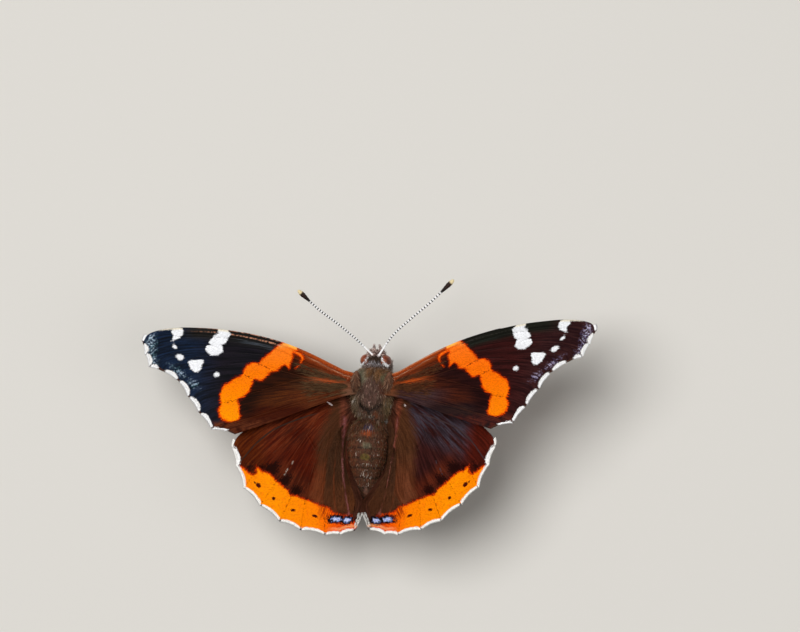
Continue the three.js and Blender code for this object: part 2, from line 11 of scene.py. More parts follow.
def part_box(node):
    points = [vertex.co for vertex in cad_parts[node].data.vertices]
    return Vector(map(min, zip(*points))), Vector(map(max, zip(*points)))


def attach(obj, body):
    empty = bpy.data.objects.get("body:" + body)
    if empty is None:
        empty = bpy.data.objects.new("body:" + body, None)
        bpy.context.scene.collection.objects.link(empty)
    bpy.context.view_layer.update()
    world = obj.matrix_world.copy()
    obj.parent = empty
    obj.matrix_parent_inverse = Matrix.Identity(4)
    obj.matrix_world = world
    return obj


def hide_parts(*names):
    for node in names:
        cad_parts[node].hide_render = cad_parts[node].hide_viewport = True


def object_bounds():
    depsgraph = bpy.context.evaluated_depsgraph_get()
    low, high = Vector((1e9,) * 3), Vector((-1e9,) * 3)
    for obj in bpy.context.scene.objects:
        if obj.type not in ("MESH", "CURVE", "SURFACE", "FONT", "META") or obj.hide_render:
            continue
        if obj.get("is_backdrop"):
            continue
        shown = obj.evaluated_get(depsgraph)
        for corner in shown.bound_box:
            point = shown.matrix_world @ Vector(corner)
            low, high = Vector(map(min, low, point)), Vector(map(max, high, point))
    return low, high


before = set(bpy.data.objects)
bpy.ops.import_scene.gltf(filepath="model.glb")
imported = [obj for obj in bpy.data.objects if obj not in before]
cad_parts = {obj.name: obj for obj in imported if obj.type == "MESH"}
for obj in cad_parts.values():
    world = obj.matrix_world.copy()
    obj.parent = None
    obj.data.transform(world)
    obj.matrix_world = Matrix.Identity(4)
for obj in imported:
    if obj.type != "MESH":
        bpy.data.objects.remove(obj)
solid_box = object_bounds()

MM = 0.001

# Place of the body in the frame: the thorax solid stands 0.1 mm behind its own middle
# and reaches 0.1 mm higher above it than below.
thorax_low, thorax_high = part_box("thorax")
BODY = (thorax_low + thorax_high) / 2 + Vector((0, 0.1, -0.1)) * MM

# The camera looks down from a little behind and to the right, turned slightly in its own plane.
LENS = 150
CAMERA_DISTANCE = 441.67
CAMERA_ROLL = math.radians(12)
CAMERA_PITCH = math.radians(9)
CAMERA_TILT = math.radians(4)
PICTURE_RIGHT = 3.47      # the picture's middle, right of the thorax and ahead of it
PICTURE_AHEAD = 10.07

back = Vector((math.tan(CAMERA_ROLL), -math.tan(CAMERA_PITCH), 1)).normalized()
ahead = Vector((0, 1, 0))
ahead = (ahead - ahead.dot(back) * back).normalized()
aside = ahead.cross(back)
camera_up = math.cos(CAMERA_TILT) * ahead - math.sin(CAMERA_TILT) * aside
camera_right = math.cos(CAMERA_TILT) * aside + math.sin(CAMERA_TILT) * ahead
offset = CAMERA_DISTANCE * back + PICTURE_RIGHT * camera_right + PICTURE_AHEAD * camera_up

bpy.ops.object.select_all(action="DESELECT")
bpy.ops.object.camera_add(location=BODY + offset * MM)
camera = bpy.context.object
camera.rotation_euler = Matrix((camera_right, camera_up, back)).transposed().to_euler()
camera.data.lens = LENS
camera.data.sensor_width = 36
camera.data.clip_start = 0.01
camera.data.dof.use_dof = False
bpy.context.scene.camera = camera

# The floor is a plain sheet of warm white paper, wide enough for every view.
FLOOR_SIZE = 4
FLOOR_DROP = 0.00005      # how far it lies under the feet, in metres


def tone(code):
    """A colour written as #rrggbb, in the linear values that shaders take."""
    parts = [int(code[i:i + 2], 16) / 255 for i in (1, 3, 5)]
    return (*[p / 12.92 if p <= 0.04045 else ((p + 0.055) / 1.055) ** 2.4 for p in parts], 1)


def feed(socket, value):
    """Links a value to a socket, or sets the socket to a number, a vector or a colour."""
    if isinstance(value, Value):
        value.tree.links.new(value.socket, socket)
    elif value is not None:
        socket.default_value = tone(value) if isinstance(value, str) else value


def node(tree, kind, *values, output=0, **settings):
    """One output of a new shader node, its settings made and its inputs fed in their order."""
    made = tree.nodes.new("ShaderNode" + kind)
    for name, value in settings.items():
        setattr(made, name, value)
    for socket, value in zip(made.inputs, values):
        feed(socket, value)
    return Value(made.outputs[output])


class Value:
    """An output of a shader node, to write sums, steps and patterns with."""

    def __init__(self, socket):
        self.socket = socket
        self.tree = socket.id_data

    def maths(self, operation, *others):
        return node(self.tree, "Math", self, *others, operation=operation)

    def __add__(self, other):
        return self.maths("ADD", other)

    def __sub__(self, other):
        return self.maths("SUBTRACT", other)

    def __rsub__(self, other):
        return self * -1 + other

    def __mul__(self, other):
        return self.maths("MULTIPLY", other)

    def __truediv__(self, other):
        return self.maths("DIVIDE", other)

    def __abs__(self):
        return self.maths("ABSOLUTE")

    def step(self, low, high, start=0, end=1):
        """A smooth step from start to end as the value goes from low to high."""
        return node(self.tree, "MapRange", self, low, high, start, end, interpolation_type="SMOOTHSTEP")

    def ramp(self, *stops):
        """A colour for each value, from stops of a place and a colour."""
        made = node(self.tree, "ValToRGB", self)
        elements = made.socket.node.color_ramp.elements
        for place, _ in stops[1:-1]:
            elements.new(place)
        for element, (place, colour) in zip(elements, stops):
            element.position = place
            element.color = tone(colour)
        return made

    def noise(self, scale, detail=2, rough=0.5):
        return node(self.tree, "TexNoise", self, None, scale, detail, rough)

    def stretched(self, *factors):
        return node(self.tree, "VectorMath", self, factors, operation="MULTIPLY")

    def dimmed(self, by):
        return node(self.tree, "VectorMath", self, None, None, by, operation="SCALE")

    def split(self):
        return [Value(output) for output in node(self.tree, "SeparateXYZ", self).socket.node.outputs]


def lay(under, *layers):
    """Coats of paint over one another, each a mask and a colour."""
    tree = next(part.tree for layer in ((under,), *layers) for part in layer if isinstance(part, Value))
    for mask, colour in layers:
        under = node(tree, "Mix", mask, *[None] * 5, under, colour, output=2, data_type="RGBA")
    return under


class Paint:
    """A material in the making."""

    def __init__(self, name, rough=0.5, specular=0.5):
        self.material = bpy.data.materials.new(name)
        self.material.use_nodes = True
        self.tree = self.material.node_tree
        self.shader = self.tree.nodes["Principled BSDF"].inputs
        feed(self.shader["Roughness"], rough)
        feed(self.shader["Specular IOR Level"], specular)

    def kept(self, name):
        """The values kept on the mesh under a name."""
        output = "Vector" if name in ("plan", "flow", "place") else "Fac"
        return node(self.tree, "Attribute", attribute_name=name, output=output)

    def in_object(self):
        return node(self.tree, "TexCoord", output="Object")

    def finish(self, colour, height=None, strength=0.5, depth=0.00003):
        """Lays the colour on and raises the surface by a height, of some depth in metres."""
        feed(self.shader["Base Color"], colour)
        if height is not None:
            bump = node(self.tree, "Bump", strength, depth)
            feed(bump.socket.node.inputs["Height"], height)
            feed(self.shader["Normal"], bump)
        return self.material


bpy.ops.mesh.primitive_plane_add(size=FLOOR_SIZE, location=(0, 0, -FLOOR_DROP))
floor = bpy.context.object
floor.name = "floor"
paint = Paint("paper", rough=0.9, specular=0.1)
grain = paint.in_object().noise(900, 4)
floor.data.materials.append(paint.finish("#d8d5cf", grain, strength=0.05, depth=0.0002))
floor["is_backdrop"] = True

# Soft studio light: a large panel ahead and to the left, a smaller one behind to the right,
# and a pale room all round.
for name, place, size, power in [
    ("key", (-0.13, 0.07, 0.6), 0.5, 3.5),
    ("fill", (0.4, -0.15, 0.4), 0.5, 0.8),
]:
    bpy.ops.object.light_add(type="AREA", location=BODY + Vector(place))
    light = bpy.context.object
    light.name = name
    light.rotation_euler = Vector(place).to_track_quat("Z", "Y").to_euler()
    light.data.shape = "DISK"
    light.data.size = size
    light.data.energy = power

room = bpy.data.worlds.new("room")
room.use_nodes = True
room.node_tree.nodes["Background"].inputs["Color"].default_value = (1, 0.98, 0.95, 1)
room.node_tree.nodes["Background"].inputs["Strength"].default_value = 0.16
bpy.context.scene.world = room
bpy.context.scene.view_settings.view_transform = "Standard"

# Forewings: each is one thin sheet of cuticle, stiffened by hollow veins that fan out from the
# root, covered on both faces by rows of tiny flat scales, and hinged at its narrow root to the
# side of the thorax.
FORE_HINGE = (2.5, 2.1, 2.1)
FORE_POSE = {
    "left": {"side": -1, "raise": 7, "twist": -4, "sweep": -5.9},
    "right": {"side": 1, "raise": 18.2, "twist": -9, "sweep": 0.5},
}
FORE_POINTS = {
    "rootC": (0.2, -0.1), "rootR": (0.3, -0.7), "rootCu": (0.3, -1.3), "rootA": (0.3, -2.1),
    "rootIn": (0.3, -2.8), "scTip": (14.6, 6.55), "cellTop": (11.6, 4.45), "fork": (21.8, 6.3),
    "cellMid": (12.1, 3.2), "cellLow": (12.2, 1.8), "cuFork1": (9.3, 0.7), "cuFork2": (6.3, -0.3),
    "r4": (28.4, 5.7), "r5": (28.05, 4.25), "m1": (27.45, 2.3), "m2": (25.8, 1.65),
    "m3": (23.55, 0.15), "cuA1": (22.15, -2.15), "cuA2": (20.7, -4.45), "a2": (19.05, -6.7),
    "tornus": (16.1, -7.5),
}
FORE_VEINS = [
    ("rootC", (3.3, 1.7), (6.1, 3.3), (8.8, 4.6), (11.4, 5.6), "scTip"),
    ("rootR", (3.5, 1), (7, 3), (11, 4.95), "scTip"),
    ("rootR", (4, 0.6), (8, 2.6), "cellTop"),
    ("cellTop", (16.5, 5.8), "fork"),
    ("fork", (25.2, 6.5), "r4"),
    ("fork", (25.2, 5.6), "r5"),
    ("cellTop", (17, 4.9), (23.3, 4.4), "m1"),
    ("cellMid", (17, 3.7), (21.3, 3.3), "m2"),
    ("cellLow", (15, 2.2), (19, 1.4), "m3"),
    ("cellTop", "cellMid"),
    ("cellMid", "cellLow"),
    ("rootCu", (3.2, -0.9), "cuFork2"),
    ("cuFork2", "cuFork1"),
    ("cuFork1", "cellLow"),
    ("cuFork1", (13.2, 0.3), (17.8, -0.7), "cuA1"),
    ("cuFork2", (12, -1.7), (16.9, -3.1), "cuA2"),
    ("rootA", (6, -3.3), (13, -5.2), "a2"),
]
FORE_FRONT = (
    "rootC", (3.3, 1.7), (6.1, 3.3), (8.8, 4.6), (11.4, 5.6), "scTip", (17.4, 7.2), (20.7, 7.65),
    (23.5, 7.85), (26.1, 7.65), (27.7, 7.05), "r4",
)
FORE_INNER = ("rootIn", (2.2, -3.3), (5.5, -4.3), (9.5, -5.6), (12.5, -6.5), "tornus")
FORE_MARGIN = ("r4", "r5", "m1", "m2", "m3", "cuA1", "cuA2", "a2", "tornus")
FORE_GAPS = (0.12, 0.14, 0.35, 0.6, 0.3, 0.32, 0.36, 0.36, 0.9)
FORE_GRID = (250, 150)    # how finely the sheet is drawn, from root to margin and across

SCALLOP = 0.1             # depth of the margin between two vein tips, of their distance
SCALLOP_STEPS = 16        # points of the margin from one vein tip to the next
FRINGE = 0.32             # length of the fringe of hair scales round the margin
GAP_DEEP = 0.45           # how deep its dark gaps reach on to the wing
ROOT_SUNK = 0.7           # how far the root reaches into the thorax
MEMBRANE = 0.1
VEIN_THICK = 0.26
VEIN_HALF = 0.2           # half width of a vein's swelling at the root
VEIN_NARROWS = 0.13       # and how much narrower it is at the margin
VEIN_RISE = 0.04
CELL_DIP = 0.07           # how far the membrane sinks between two veins


def fore_camber(x, y):
    return -(x ** 2) / 900 - (y + 4) ** 2 / 80


def through(stops, spacing=0.1):
    """Evenly spaced points along a smooth curve through the stops."""
    stops = np.array(stops, float)
    ends = [2 * stops[0] - stops[1], *stops, 2 * stops[-1] - stops[-2]]
    t = np.linspace(0, 1, 24, endpoint=False)[:, None]
    line = []
    for a, b, c, d in zip(ends, ends[1:], ends[2:], ends[3:]):
        ab, bc, cd = (max(np.linalg.norm(q - p), 1e-6) ** 0.5 for p, q in ((a, b), (b, c), (c, d)))
        leave = ((b - a) / ab - (c - a) / (ab + bc) + (c - b) / bc) * bc
        arrive = ((c - b) / bc - (d - b) / (bc + cd) + (d - c) / cd) * bc
        line.append((2 * t ** 3 - 3 * t ** 2 + 1) * b + (t ** 3 - 2 * t ** 2 + t) * leave
                    + (3 * t ** 2 - 2 * t ** 3) * c + (t ** 3 - t ** 2) * arrive)
    line = np.vstack([*line, stops[-1:]])
    reach = np.append(0, np.cumsum(np.linalg.norm(np.diff(line, axis=0), axis=1)))
    return at_share(line, np.linspace(0, 1, max(2, round(reach[-1] / spacing) + 1)))


def at_share(line, share):
    """Points of a line at shares of its length."""
    reach = np.append(0, np.cumsum(np.linalg.norm(np.diff(line, axis=0), axis=1)))
    return np.column_stack([np.interp(share * reach[-1], reach, column) for column in line.T])


def scalloped(tips):
    """The margin from vein tip to vein tip, curved inwards between them."""
    t = np.linspace(0, 1, SCALLOP_STEPS, endpoint=False)[:, None]
    line = []
    for start, end in zip(tips, tips[1:]):
        inwards = np.array([end[1] - start[1], start[0] - end[0]]) * SCALLOP * 4
        line.append(start + (np.array(end) - start) * t + inwards * t * (1 - t))
    return np.vstack([*line, tips[-1:]])


def distance(places, line):
    """Distance of each place to a line of points."""
    best = np.full(len(places), np.inf)
    for a, b in zip(line, line[1:]):
        run = b - a
        t = np.clip((places - a) @ run / max(run @ run, 1e-9), 0, 1)
        best = np.minimum(best, ((places - a - t[:, None] * run) ** 2).sum(1))
    return np.sqrt(best)


def mark(places, outline, smooth=True):
    """Distance of each place to a closed outline, negative inside it."""
    outline = np.array([*outline, outline[0]], float)
    if smooth:
        outline = through(outline, 0.15)
    x, y = places.T
    inside = np.zeros(len(places), bool)
    for a, b in zip(outline, outline[1:]):
        spans = (a[1] > y) != (b[1] > y)
        inside ^= spans & (x < a[0] + (y - a[1]) * (b[0] - a[0]) / (b[1] - a[1] or 1e-9))
    return np.where(inside, -1, 1) * distance(places, outline)


def spot(places, x, y, long, wide=None, turn=0):
    """Distance of each place to an oval, negative inside it."""
    wide = wide or long
    c, s = math.cos(math.radians(turn)), math.sin(math.radians(turn))
    u = (places[:, 0] - x) * c + (places[:, 1] - y) * s
    v = (places[:, 1] - y) * c - (places[:, 0] - x) * s
    return (np.hypot(u / long, v / wide) - 1) * min(long, wide)


def stroke(places, stops):
    """Distance of each place to a stroke through stops of x, y and half width, negative inside it."""
    line = through(stops, 0.08)
    return (np.hypot(places[:, :1] - line[:, 0], places[:, 1:2] - line[:, 1]) - line[:, 2]).min(1)


class Wing:
    """A wing: its edges and veins spread flat, and its place on the thorax."""

    def __init__(self, name, side, points, front, inner, margin, veins, gaps, camber, hinge, pose):
        def line(stops):
            return through([points.get(stop, stop) for stop in stops])

        self.name, self.side, self.sign = name, side, pose["side"]
        self.front, self.inner, self.gaps, self.camber = line(front), line(inner), gaps, camber
        self.margin = scalloped([points[tip] for tip in margin])
        self.veins = [line(stops) for stops in veins]
        sweep, lift, twist = [math.radians(pose[turn]) for turn in ("sweep", "raise", "twist")]
        matrix = Matrix.Translation(BODY) @ Matrix.Diagonal((MM * self.sign, MM, MM, 1))
        matrix @= Matrix.Translation(hinge) @ Matrix.Rotation(sweep, 4, "Z")
        self.matrix = matrix @ Matrix.Rotation(-lift, 4, "Y") @ Matrix.Rotation(twist, 4, "X")

    def place(self, s, t):
        """s runs from the root to the margin, and t from the front edge to the inner one."""
        root = [self.front[0], self.inner[0]]
        tip = [self.front[-1], self.inner[-1]]
        s, t = s[:, None], t[:, None]
        rows = (1 - t) * at_share(self.front, s[:, 0]) + t * at_share(self.inner, s[:, 0])
        columns = (1 - s) * (root[0] + (root[1] - root[0]) * t) + s * at_share(self.margin, t[:, 0])
        corners = (1 - s) * ((1 - t) * root[0] + t * root[1]) + s * ((1 - t) * tip[0] + t * tip[1])
        return rows + columns - corners

    def outwards(self, s, t):
        """The way along the wing at each place, spread flat."""
        return unit(self.place(s + 0.002, t) - self.place(s, t))

    def fringe_root(self, t):
        """The share along the wing at which the fringe begins."""
        step = 0.01
        ends = self.place(np.ones_like(t), t) - self.place(np.full_like(t, 1 - step), t)
        return 1 - FRINGE * step / np.linalg.norm(ends, axis=1)

    def solid(self, flat):
        """Flat places on the posed and curved wing, round the thorax."""
        curved = np.column_stack([flat, self.camber(*flat.T)])
        return (moved(curved, self.matrix) - np.array(BODY)) / MM

    def frame(self, flat, way):
        """Flat places and ways on the posed wing, and which way is up there."""
        here = self.solid(flat)
        outward = unit(self.solid(flat + way * 0.05) - here)
        aside = unit(self.solid(flat + np.column_stack([-way[:, 1], way[:, 0]]) * 0.05) - here)
        return here, outward, unit(np.cross(outward, aside)) * self.sign


def unit(vectors):
    return vectors / np.maximum(np.linalg.norm(vectors, axis=-1, keepdims=True), 1e-9)


def moved(places, matrix):
    return (np.column_stack([places, np.ones(len(places))]) @ np.array(matrix).T)[:, :3]


def from_gaps(places, wing, share=1):
    """How far along the margin each place is from the dark gaps at the vein tips, each with its half
    width. Round the wing's corners, it is how far from the gap itself."""
    deep = np.minimum(distance(places, wing.margin), GAP_DEEP) ** 2
    tips = wing.margin[::SCALLOP_STEPS]
    along = [np.sqrt(np.maximum(((places - tip) ** 2).sum(1) - deep, 0)) for tip in tips]
    return np.min([reach - gap * share for reach, gap in zip(along, wing.gaps)], axis=0)


def lunules(places, wing, depth):
    """The white of the fringe, which reaches on to the wing in a crescent between each two gaps,
    negative inside it."""
    white = from_gaps(places, wing)
    crescent = FRINGE + depth * (1 - np.exp(-np.maximum(white, 0) / 0.35))
    return np.maximum(distance(places, wing.margin) - crescent, -white)


def nearest(places, measure, shapes):
    """The least of a measure from each place to several shapes."""
    return np.min([measure(places, *shape) for shape in shapes], axis=0)


def store(mesh, name, values):
    """Values kept for each vertex of a mesh: one number, or a vector of three."""
    kind, field = ("FLOAT", "value") if values.ndim == 1 else ("FLOAT_VECTOR", "vector")
    mesh.attributes.new(name, kind, "POINT").data.foreach_set(field, values.astype(np.float32).ravel())


def place_points(mesh, places):
    """Vertices set from millimetres round the thorax."""
    mesh.vertices.foreach_set("co", (places * MM + np.array(BODY)).ravel())


def dress(piece, material, slot, *solids):
    """Every piece rides on the part's one body, and the slot it is given is not used. Some replace solids.
    """
    piece.data.materials.append(material)
    piece.data.shade_smooth()
    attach(piece, "root")
    if solids:
        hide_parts(*solids)


def wing_sheet(wing, grid, marks, upper, under):
    """A wing as a sheet mapped from a flat grid, with its veins swollen and its marks kept."""
    bpy.ops.object.select_all(action="DESELECT")
    bpy.ops.mesh.primitive_grid_add(x_subdivisions=grid[0], y_subdivisions=grid[1], size=1)
    sheet = bpy.context.object
    sheet.name = sheet.data.name = f"{wing.name}wing_skin_{wing.side}"
    mesh = sheet.data
    flat = np.array([v.co for v in mesh.vertices])
    s, t = flat[:, 0] + 0.5, 0.5 - flat[:, 1]
    places = wing.place(s * wing.fringe_root(t), t)
    x, y = places.T
    near = np.min([distance(places, line) for line in wing.veins], axis=0)
    ridge = np.exp(-(near / (VEIN_HALF - VEIN_NARROWS * s)) ** 2)
    dip = CELL_DIP * (1 - np.exp(-(near / 0.6) ** 2)) * np.clip(s * 6, 0, 1)
    sunk = ROOT_SUNK * np.clip(1 - s / 0.04, 0, 1)
    solid = np.column_stack([x - sunk, y, wing.camber(x, y) - dip + VEIN_RISE * ridge])
    mesh.vertices.foreach_set("co", solid.ravel())
    kept = {"plan": np.column_stack([x, y, 0 * x]), "flow": np.column_stack([s, t, 0 * x]), "vein": near}
    for name, values in {**kept, **marks(places, wing)}.items():
        store(mesh, name, values)
    thick = sheet.vertex_groups.new(name="thick")
    for weight in range(11):
        chosen = np.flatnonzero(np.round(ridge * 10) == weight)
        thick.add(chosen.tolist(), weight / 10, "REPLACE")
    mesh.transform(wing.matrix)
    if wing.sign < 0:
        mesh.flip_normals()
    mesh.materials.append(upper)
    mesh.materials.append(under)
    wall = sheet.modifiers.new("wall", "SOLIDIFY")
    wall.thickness = VEIN_THICK * MM
    wall.vertex_group = "thick"
    wall.thickness_vertex_group = MEMBRANE / VEIN_THICK
    wall.offset = 0
    wall.material_offset = 1
    bpy.context.view_layer.objects.active = sheet
    bpy.ops.object.modifier_apply(modifier="wall")
    sheet.vertex_groups.clear()
    sheet.data.shade_smooth()
    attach(sheet, "root")
    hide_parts(f"{wing.name}wing_{wing.side}")


def new_group(name, inputs, outputs):
    """A shader node group, the values that it is given and the sockets that it fills."""
    made = bpy.data.node_groups.new(name, "ShaderNodeTree")
    for way, sockets in (("INPUT", inputs), ("OUTPUT", outputs)):
        for socket, kind in sockets.items():
            made.interface.new_socket(socket, in_out=way, socket_type="NodeSocket" + kind)
    given = made.nodes.new("NodeGroupInput").outputs
    return made, [Value(given[socket]) for socket in inputs], made.nodes.new("NodeGroupOutput").inputs


def use_group(tree, group, *values):
    made = tree.nodes.new("ShaderNodeGroup")
    made.node_tree = group
    for socket, value in zip(made.inputs, values):
        feed(socket, value)
    return [Value(output) for output in made.outputs]


# Wing scales lie in rows like tiles: each has its own shade and its own slight lift.
SCALES_PER_MM = 9
scale_rows, (plan,), out = new_group("scale rows", {"Plan": "Vector"}, {"Shade": "Float", "Lift": "Float"})
tiles = plan.stretched(SCALES_PER_MM, SCALES_PER_MM * 1.7, 1)
lift = node(scale_rows, "TexVoronoi", tiles, None, 1, voronoi_dimensions="2D")
feed(out["Shade"], Value(lift.socket.node.outputs["Color"]).split()[0])
feed(out["Lift"], 1 - lift)

# Streaks run along the wing between the veins, as its scales and folds do.
streak_group, (flow, finely, seed), out = new_group(
    "streaks", {"Flow": "Vector", "Across": "Float", "Seed": "Float"}, {"Value": "Float"}
)
along, across, _ = flow.split()
feed(out["Value"], node(streak_group, "CombineXYZ", along * 5, across * finely, seed).noise(1, 4, 0.6))

# The edge of a marking steps from scale to scale, runs out in teeth along the streaks and wanders
# a little.
edge_group, (plan, flow, reach, ragged, wander, soft, teeth), out = new_group(
    "ragged edge",
    {"Plan": "Vector", "Flow": "Vector", "Distance": "Float", "Ragged": "Float", "Wander": "Float",
     "Soft": "Float", "Teeth": "Float"},
    {"Mask": "Float"},
)
shade, _ = use_group(edge_group, scale_rows, plan)
streak, = use_group(edge_group, streak_group, flow, 150, 51)
for value, strength in ((shade, ragged), (streak, teeth), (plan.noise(1.6, 3, 0.6), wander)):
    reach = (value - 0.5) * strength + reach
feed(out["Mask"], (reach / soft).step(0.5, -0.5))


class WingPaint(Paint):
    """The paint of one face of a wing, with the wing's own places at hand."""

    def __init__(self, name):
        super().__init__(name, specular=0.02)
        self.plan, self.flow = self.kept("plan"), self.kept("flow")
        self.x, self.y, _ = self.plan.split()
        self.shade, self.lift = use_group(self.tree, scale_rows, self.plan)
        self.grain = (self.streaks(75, 7) * 0.6 + self.streaks(24, 3) * 0.4).step(0.4, 0.6)

    def edge(self, distance, grown=0, ragged=0.16, wander=0.3, soft=0.05, teeth=0):
        """The mask of a marking, grown by some width, from the distance to its outline."""
        if isinstance(distance, str):
            distance = self.kept(distance)
        if grown:
            distance = distance - grown
        values = self.plan, self.flow, distance, ragged, wander, soft, teeth
        return use_group(self.tree, edge_group, *values)[0]

    def streaks(self, across, seed=0):
        return use_group(self.tree, streak_group, self.flow, across, seed)[0]

    def zones(self, tones):
        """Fine dark and bright streaks of each pair of tones."""
        pairs = {name: pair for name, pair in tones.items() if isinstance(pair, tuple)}
        return {name: lay(dark, (self.grain, bright)) for name, (dark, bright) in pairs.items()}

    def finish(self, colour):
        """Scales shade the colour one by one, and their lift and the streaks roughen the surface."""
        feed(self.shader["Roughness"], self.shade.step(0, 1, 0.5, 0.74))
        colour = colour.dimmed(self.shade.step(0, 1, 0.78, 1.12))
        return super().finish(colour, self.lift + self.streaks(60, 3) * 2, strength=0.35, depth=0.00002)


# Markings of the forewing's upper face, spread flat
ORANGE_BAND = [
    (9.2, 5), (9.75, 4.6), (10.4, 4.15), (10.85, 3.65), (11.5, 3.15), (12.15, 2.6), (12.6, 2.12),
    (13.3, 2.15), (14.1, 1.9), (14.5, 1.4), (14.85, 0.55), (15.75, 0.15), (16.5, -0.4), (17.25, -0.75),
    (17.6, -1.3), (17.85, -2), (17.8, -2.75), (17.72, -3.3), (18, -4), (17.9, -4.85), (17.35, -5.5),
    (16.5, -5.85), (15.6, -5.7), (15.1, -5.2), (15.25, -4.5), (15.2, -3.7), (15.45, -2.9), (14.6, -2.5),
    (13.95, -1.8), (13.55, -1), (13.2, -0.2), (12.45, -0.4), (11.7, -0.05), (11.3, 0.45), (10.75, 0.72),
    (10.2, 0.8), (9.65, 1.3), (9.2, 1.62), (8.85, 1.45), (8.5, 1), (8.42, 1.6), (8.15, 2.15), (8, 2.7),
    (8.02, 3.2), (7.7, 3.45), (7.4, 3.6), (7.4, 4.6), (8.3, 5),
]
BAND_HOOK = [
    (7.9, 3.45, 0.16), (7.45, 3.2, 0.18), (6.98, 2.88, 0.21), (6.76, 2.4, 0.19), (6.98, 1.82, 0.13),
    (7.3, 1.42, 0.09), (7.7, 1.12, 0.03),
]
BAND_CUTS = [
    [(10.3, 0.6), (11.4, 1.3), (12.75, 2)], [(13.05, -0.3), (13.8, 0.1), (14.8, 0.65)],
    [(15.2, -2.85), (16.5, -3.05), (17.9, -3.35)],
]
WHITE_BAR = [
    (16.85, 7.4), (18.25, 7.4), (18.1, 6.65), (18.7, 6.3), (18.95, 5.95), (19.4, 5.45), (19.1, 5.1),
    (19.6, 4.95), (19.8, 4.4), (19.35, 3.85), (19.05, 3.52), (18, 3.52), (17.42, 3.95), (17.55, 4.9),
    (17.05, 5.2), (16.75, 5.9), (16.4, 6.45), (16.7, 6.9),
]
WHITE_SPOT = [
    (19.92, 2.95), (21.95, 3.02), (22.08, 2.5), (21.75, 1.75), (21.1, 1.25), (20.5, 1.45), (20.2, 2.25),
]
WHITE_CORNER = [
    (22.95, 7.8), (22.85, 6.75), (23.3, 6.3), (23.65, 6.1), (24.5, 5.85), (24.15, 6.5), (24.45, 7.1),
    (24.3, 7.8),
]
WHITE_DOTS = [(23.95, 5.05, 0.36, 0.2, 60), (23.25, 3.55, 0.52, 0.4, 30), (18.25, 0.78, 0.4, 0.28, 0)]
FRONT_LINE = [(23.6, 7.9, 0.16), (25, 7.85, 0.2), (26.1, 7.7, 0.1)]
FLECKS = [
    (27.1, 5.6, 1.5, 0.6, 88), (26.8, 3.4, 0.9, 0.4, 75), (23.4, 1.5, 0.95, 0.3, 40),
    (21.4, -0.3, 0.7, 0.3, 42),
]


def fore_marks(places, wing):
    white = [
        nearest(places, mark, [(outline, False) for outline in (WHITE_BAR, WHITE_SPOT, WHITE_CORNER)]),
        nearest(places, spot, WHITE_DOTS), stroke(places, FRONT_LINE),
    ]
    depth = np.interp(places[:, 0], [17.5, 19.5, 27], [-0.3, 0.22, 0.28])
    return {
        "band": np.minimum(mark(places, ORANGE_BAND), stroke(places, BAND_HOOK)),
        "cuts": nearest(places, distance, [(through(line),) for line in BAND_CUTS]),
        "white": np.min(white, axis=0),
        "lunules": lunules(places, wing, depth),
        "front": distance(places, wing.front),
        "margin": distance(places, wing.margin),
        "flecks": nearest(places, spot, FLECKS),
        "eye": spot(places, 15.6, 5.6, 0.6),
    }


# The darker and the brighter streaks of each zone, seen a little bluer on the left wing and a
# little redder on the right one, as the light strikes their scales at other angles
FORE_TONES = {
    "left": {
        "brown": ("#32140a", "#55290f"), "olive": ("#3a2113", "#6b5238"), "lower": ("#3e1509", "#5e2f16"),
        "trail": ("#330c04", "#431909"), "dark": ("#170b06", "#2c1209"), "root": ("#4c2817", "#8a6650"),
        "field": ("#111114", "#1f1b22"), "outer": ("#0f141c", "#1a2840"), "costa": ("#100f0e", "#262422"),
        "fleck": ("#3c7480", "#b4c8de"), "corner": ("#3c170a", "#63311c"), "line": "#bd8468",
        "painted_sheen": "#4a5058", "ray": ("#8c3814", "#b8562c"), "edge": "#ac5222", "flush": 0.0,
    },
    "right": {
        "brown": ("#2a100c", "#4c2012"), "olive": ("#431a0c", "#73371a"), "lower": ("#2a1518", "#443030"),
        "trail": ("#1c1014", "#32201c"), "dark": ("#180808", "#281010"), "root": ("#4c2a19", "#86502f"),
        "field": ("#240d0c", "#3c1716"), "outer": ("#220f12", "#3a1f1e"), "costa": ("#11100d", "#1f2019"),
        "fleck": ("#5a4a78", "#c0b4d4"), "corner": ("#301516", "#56251b"), "line": "#2c2a26",
        "painted_sheen": "#222620", "ray": ("#a03a0e", "#cc5a20"), "edge": "#e4a880", "flush": 0.35,
    },
}
LUNULE = "#f6f4f2"


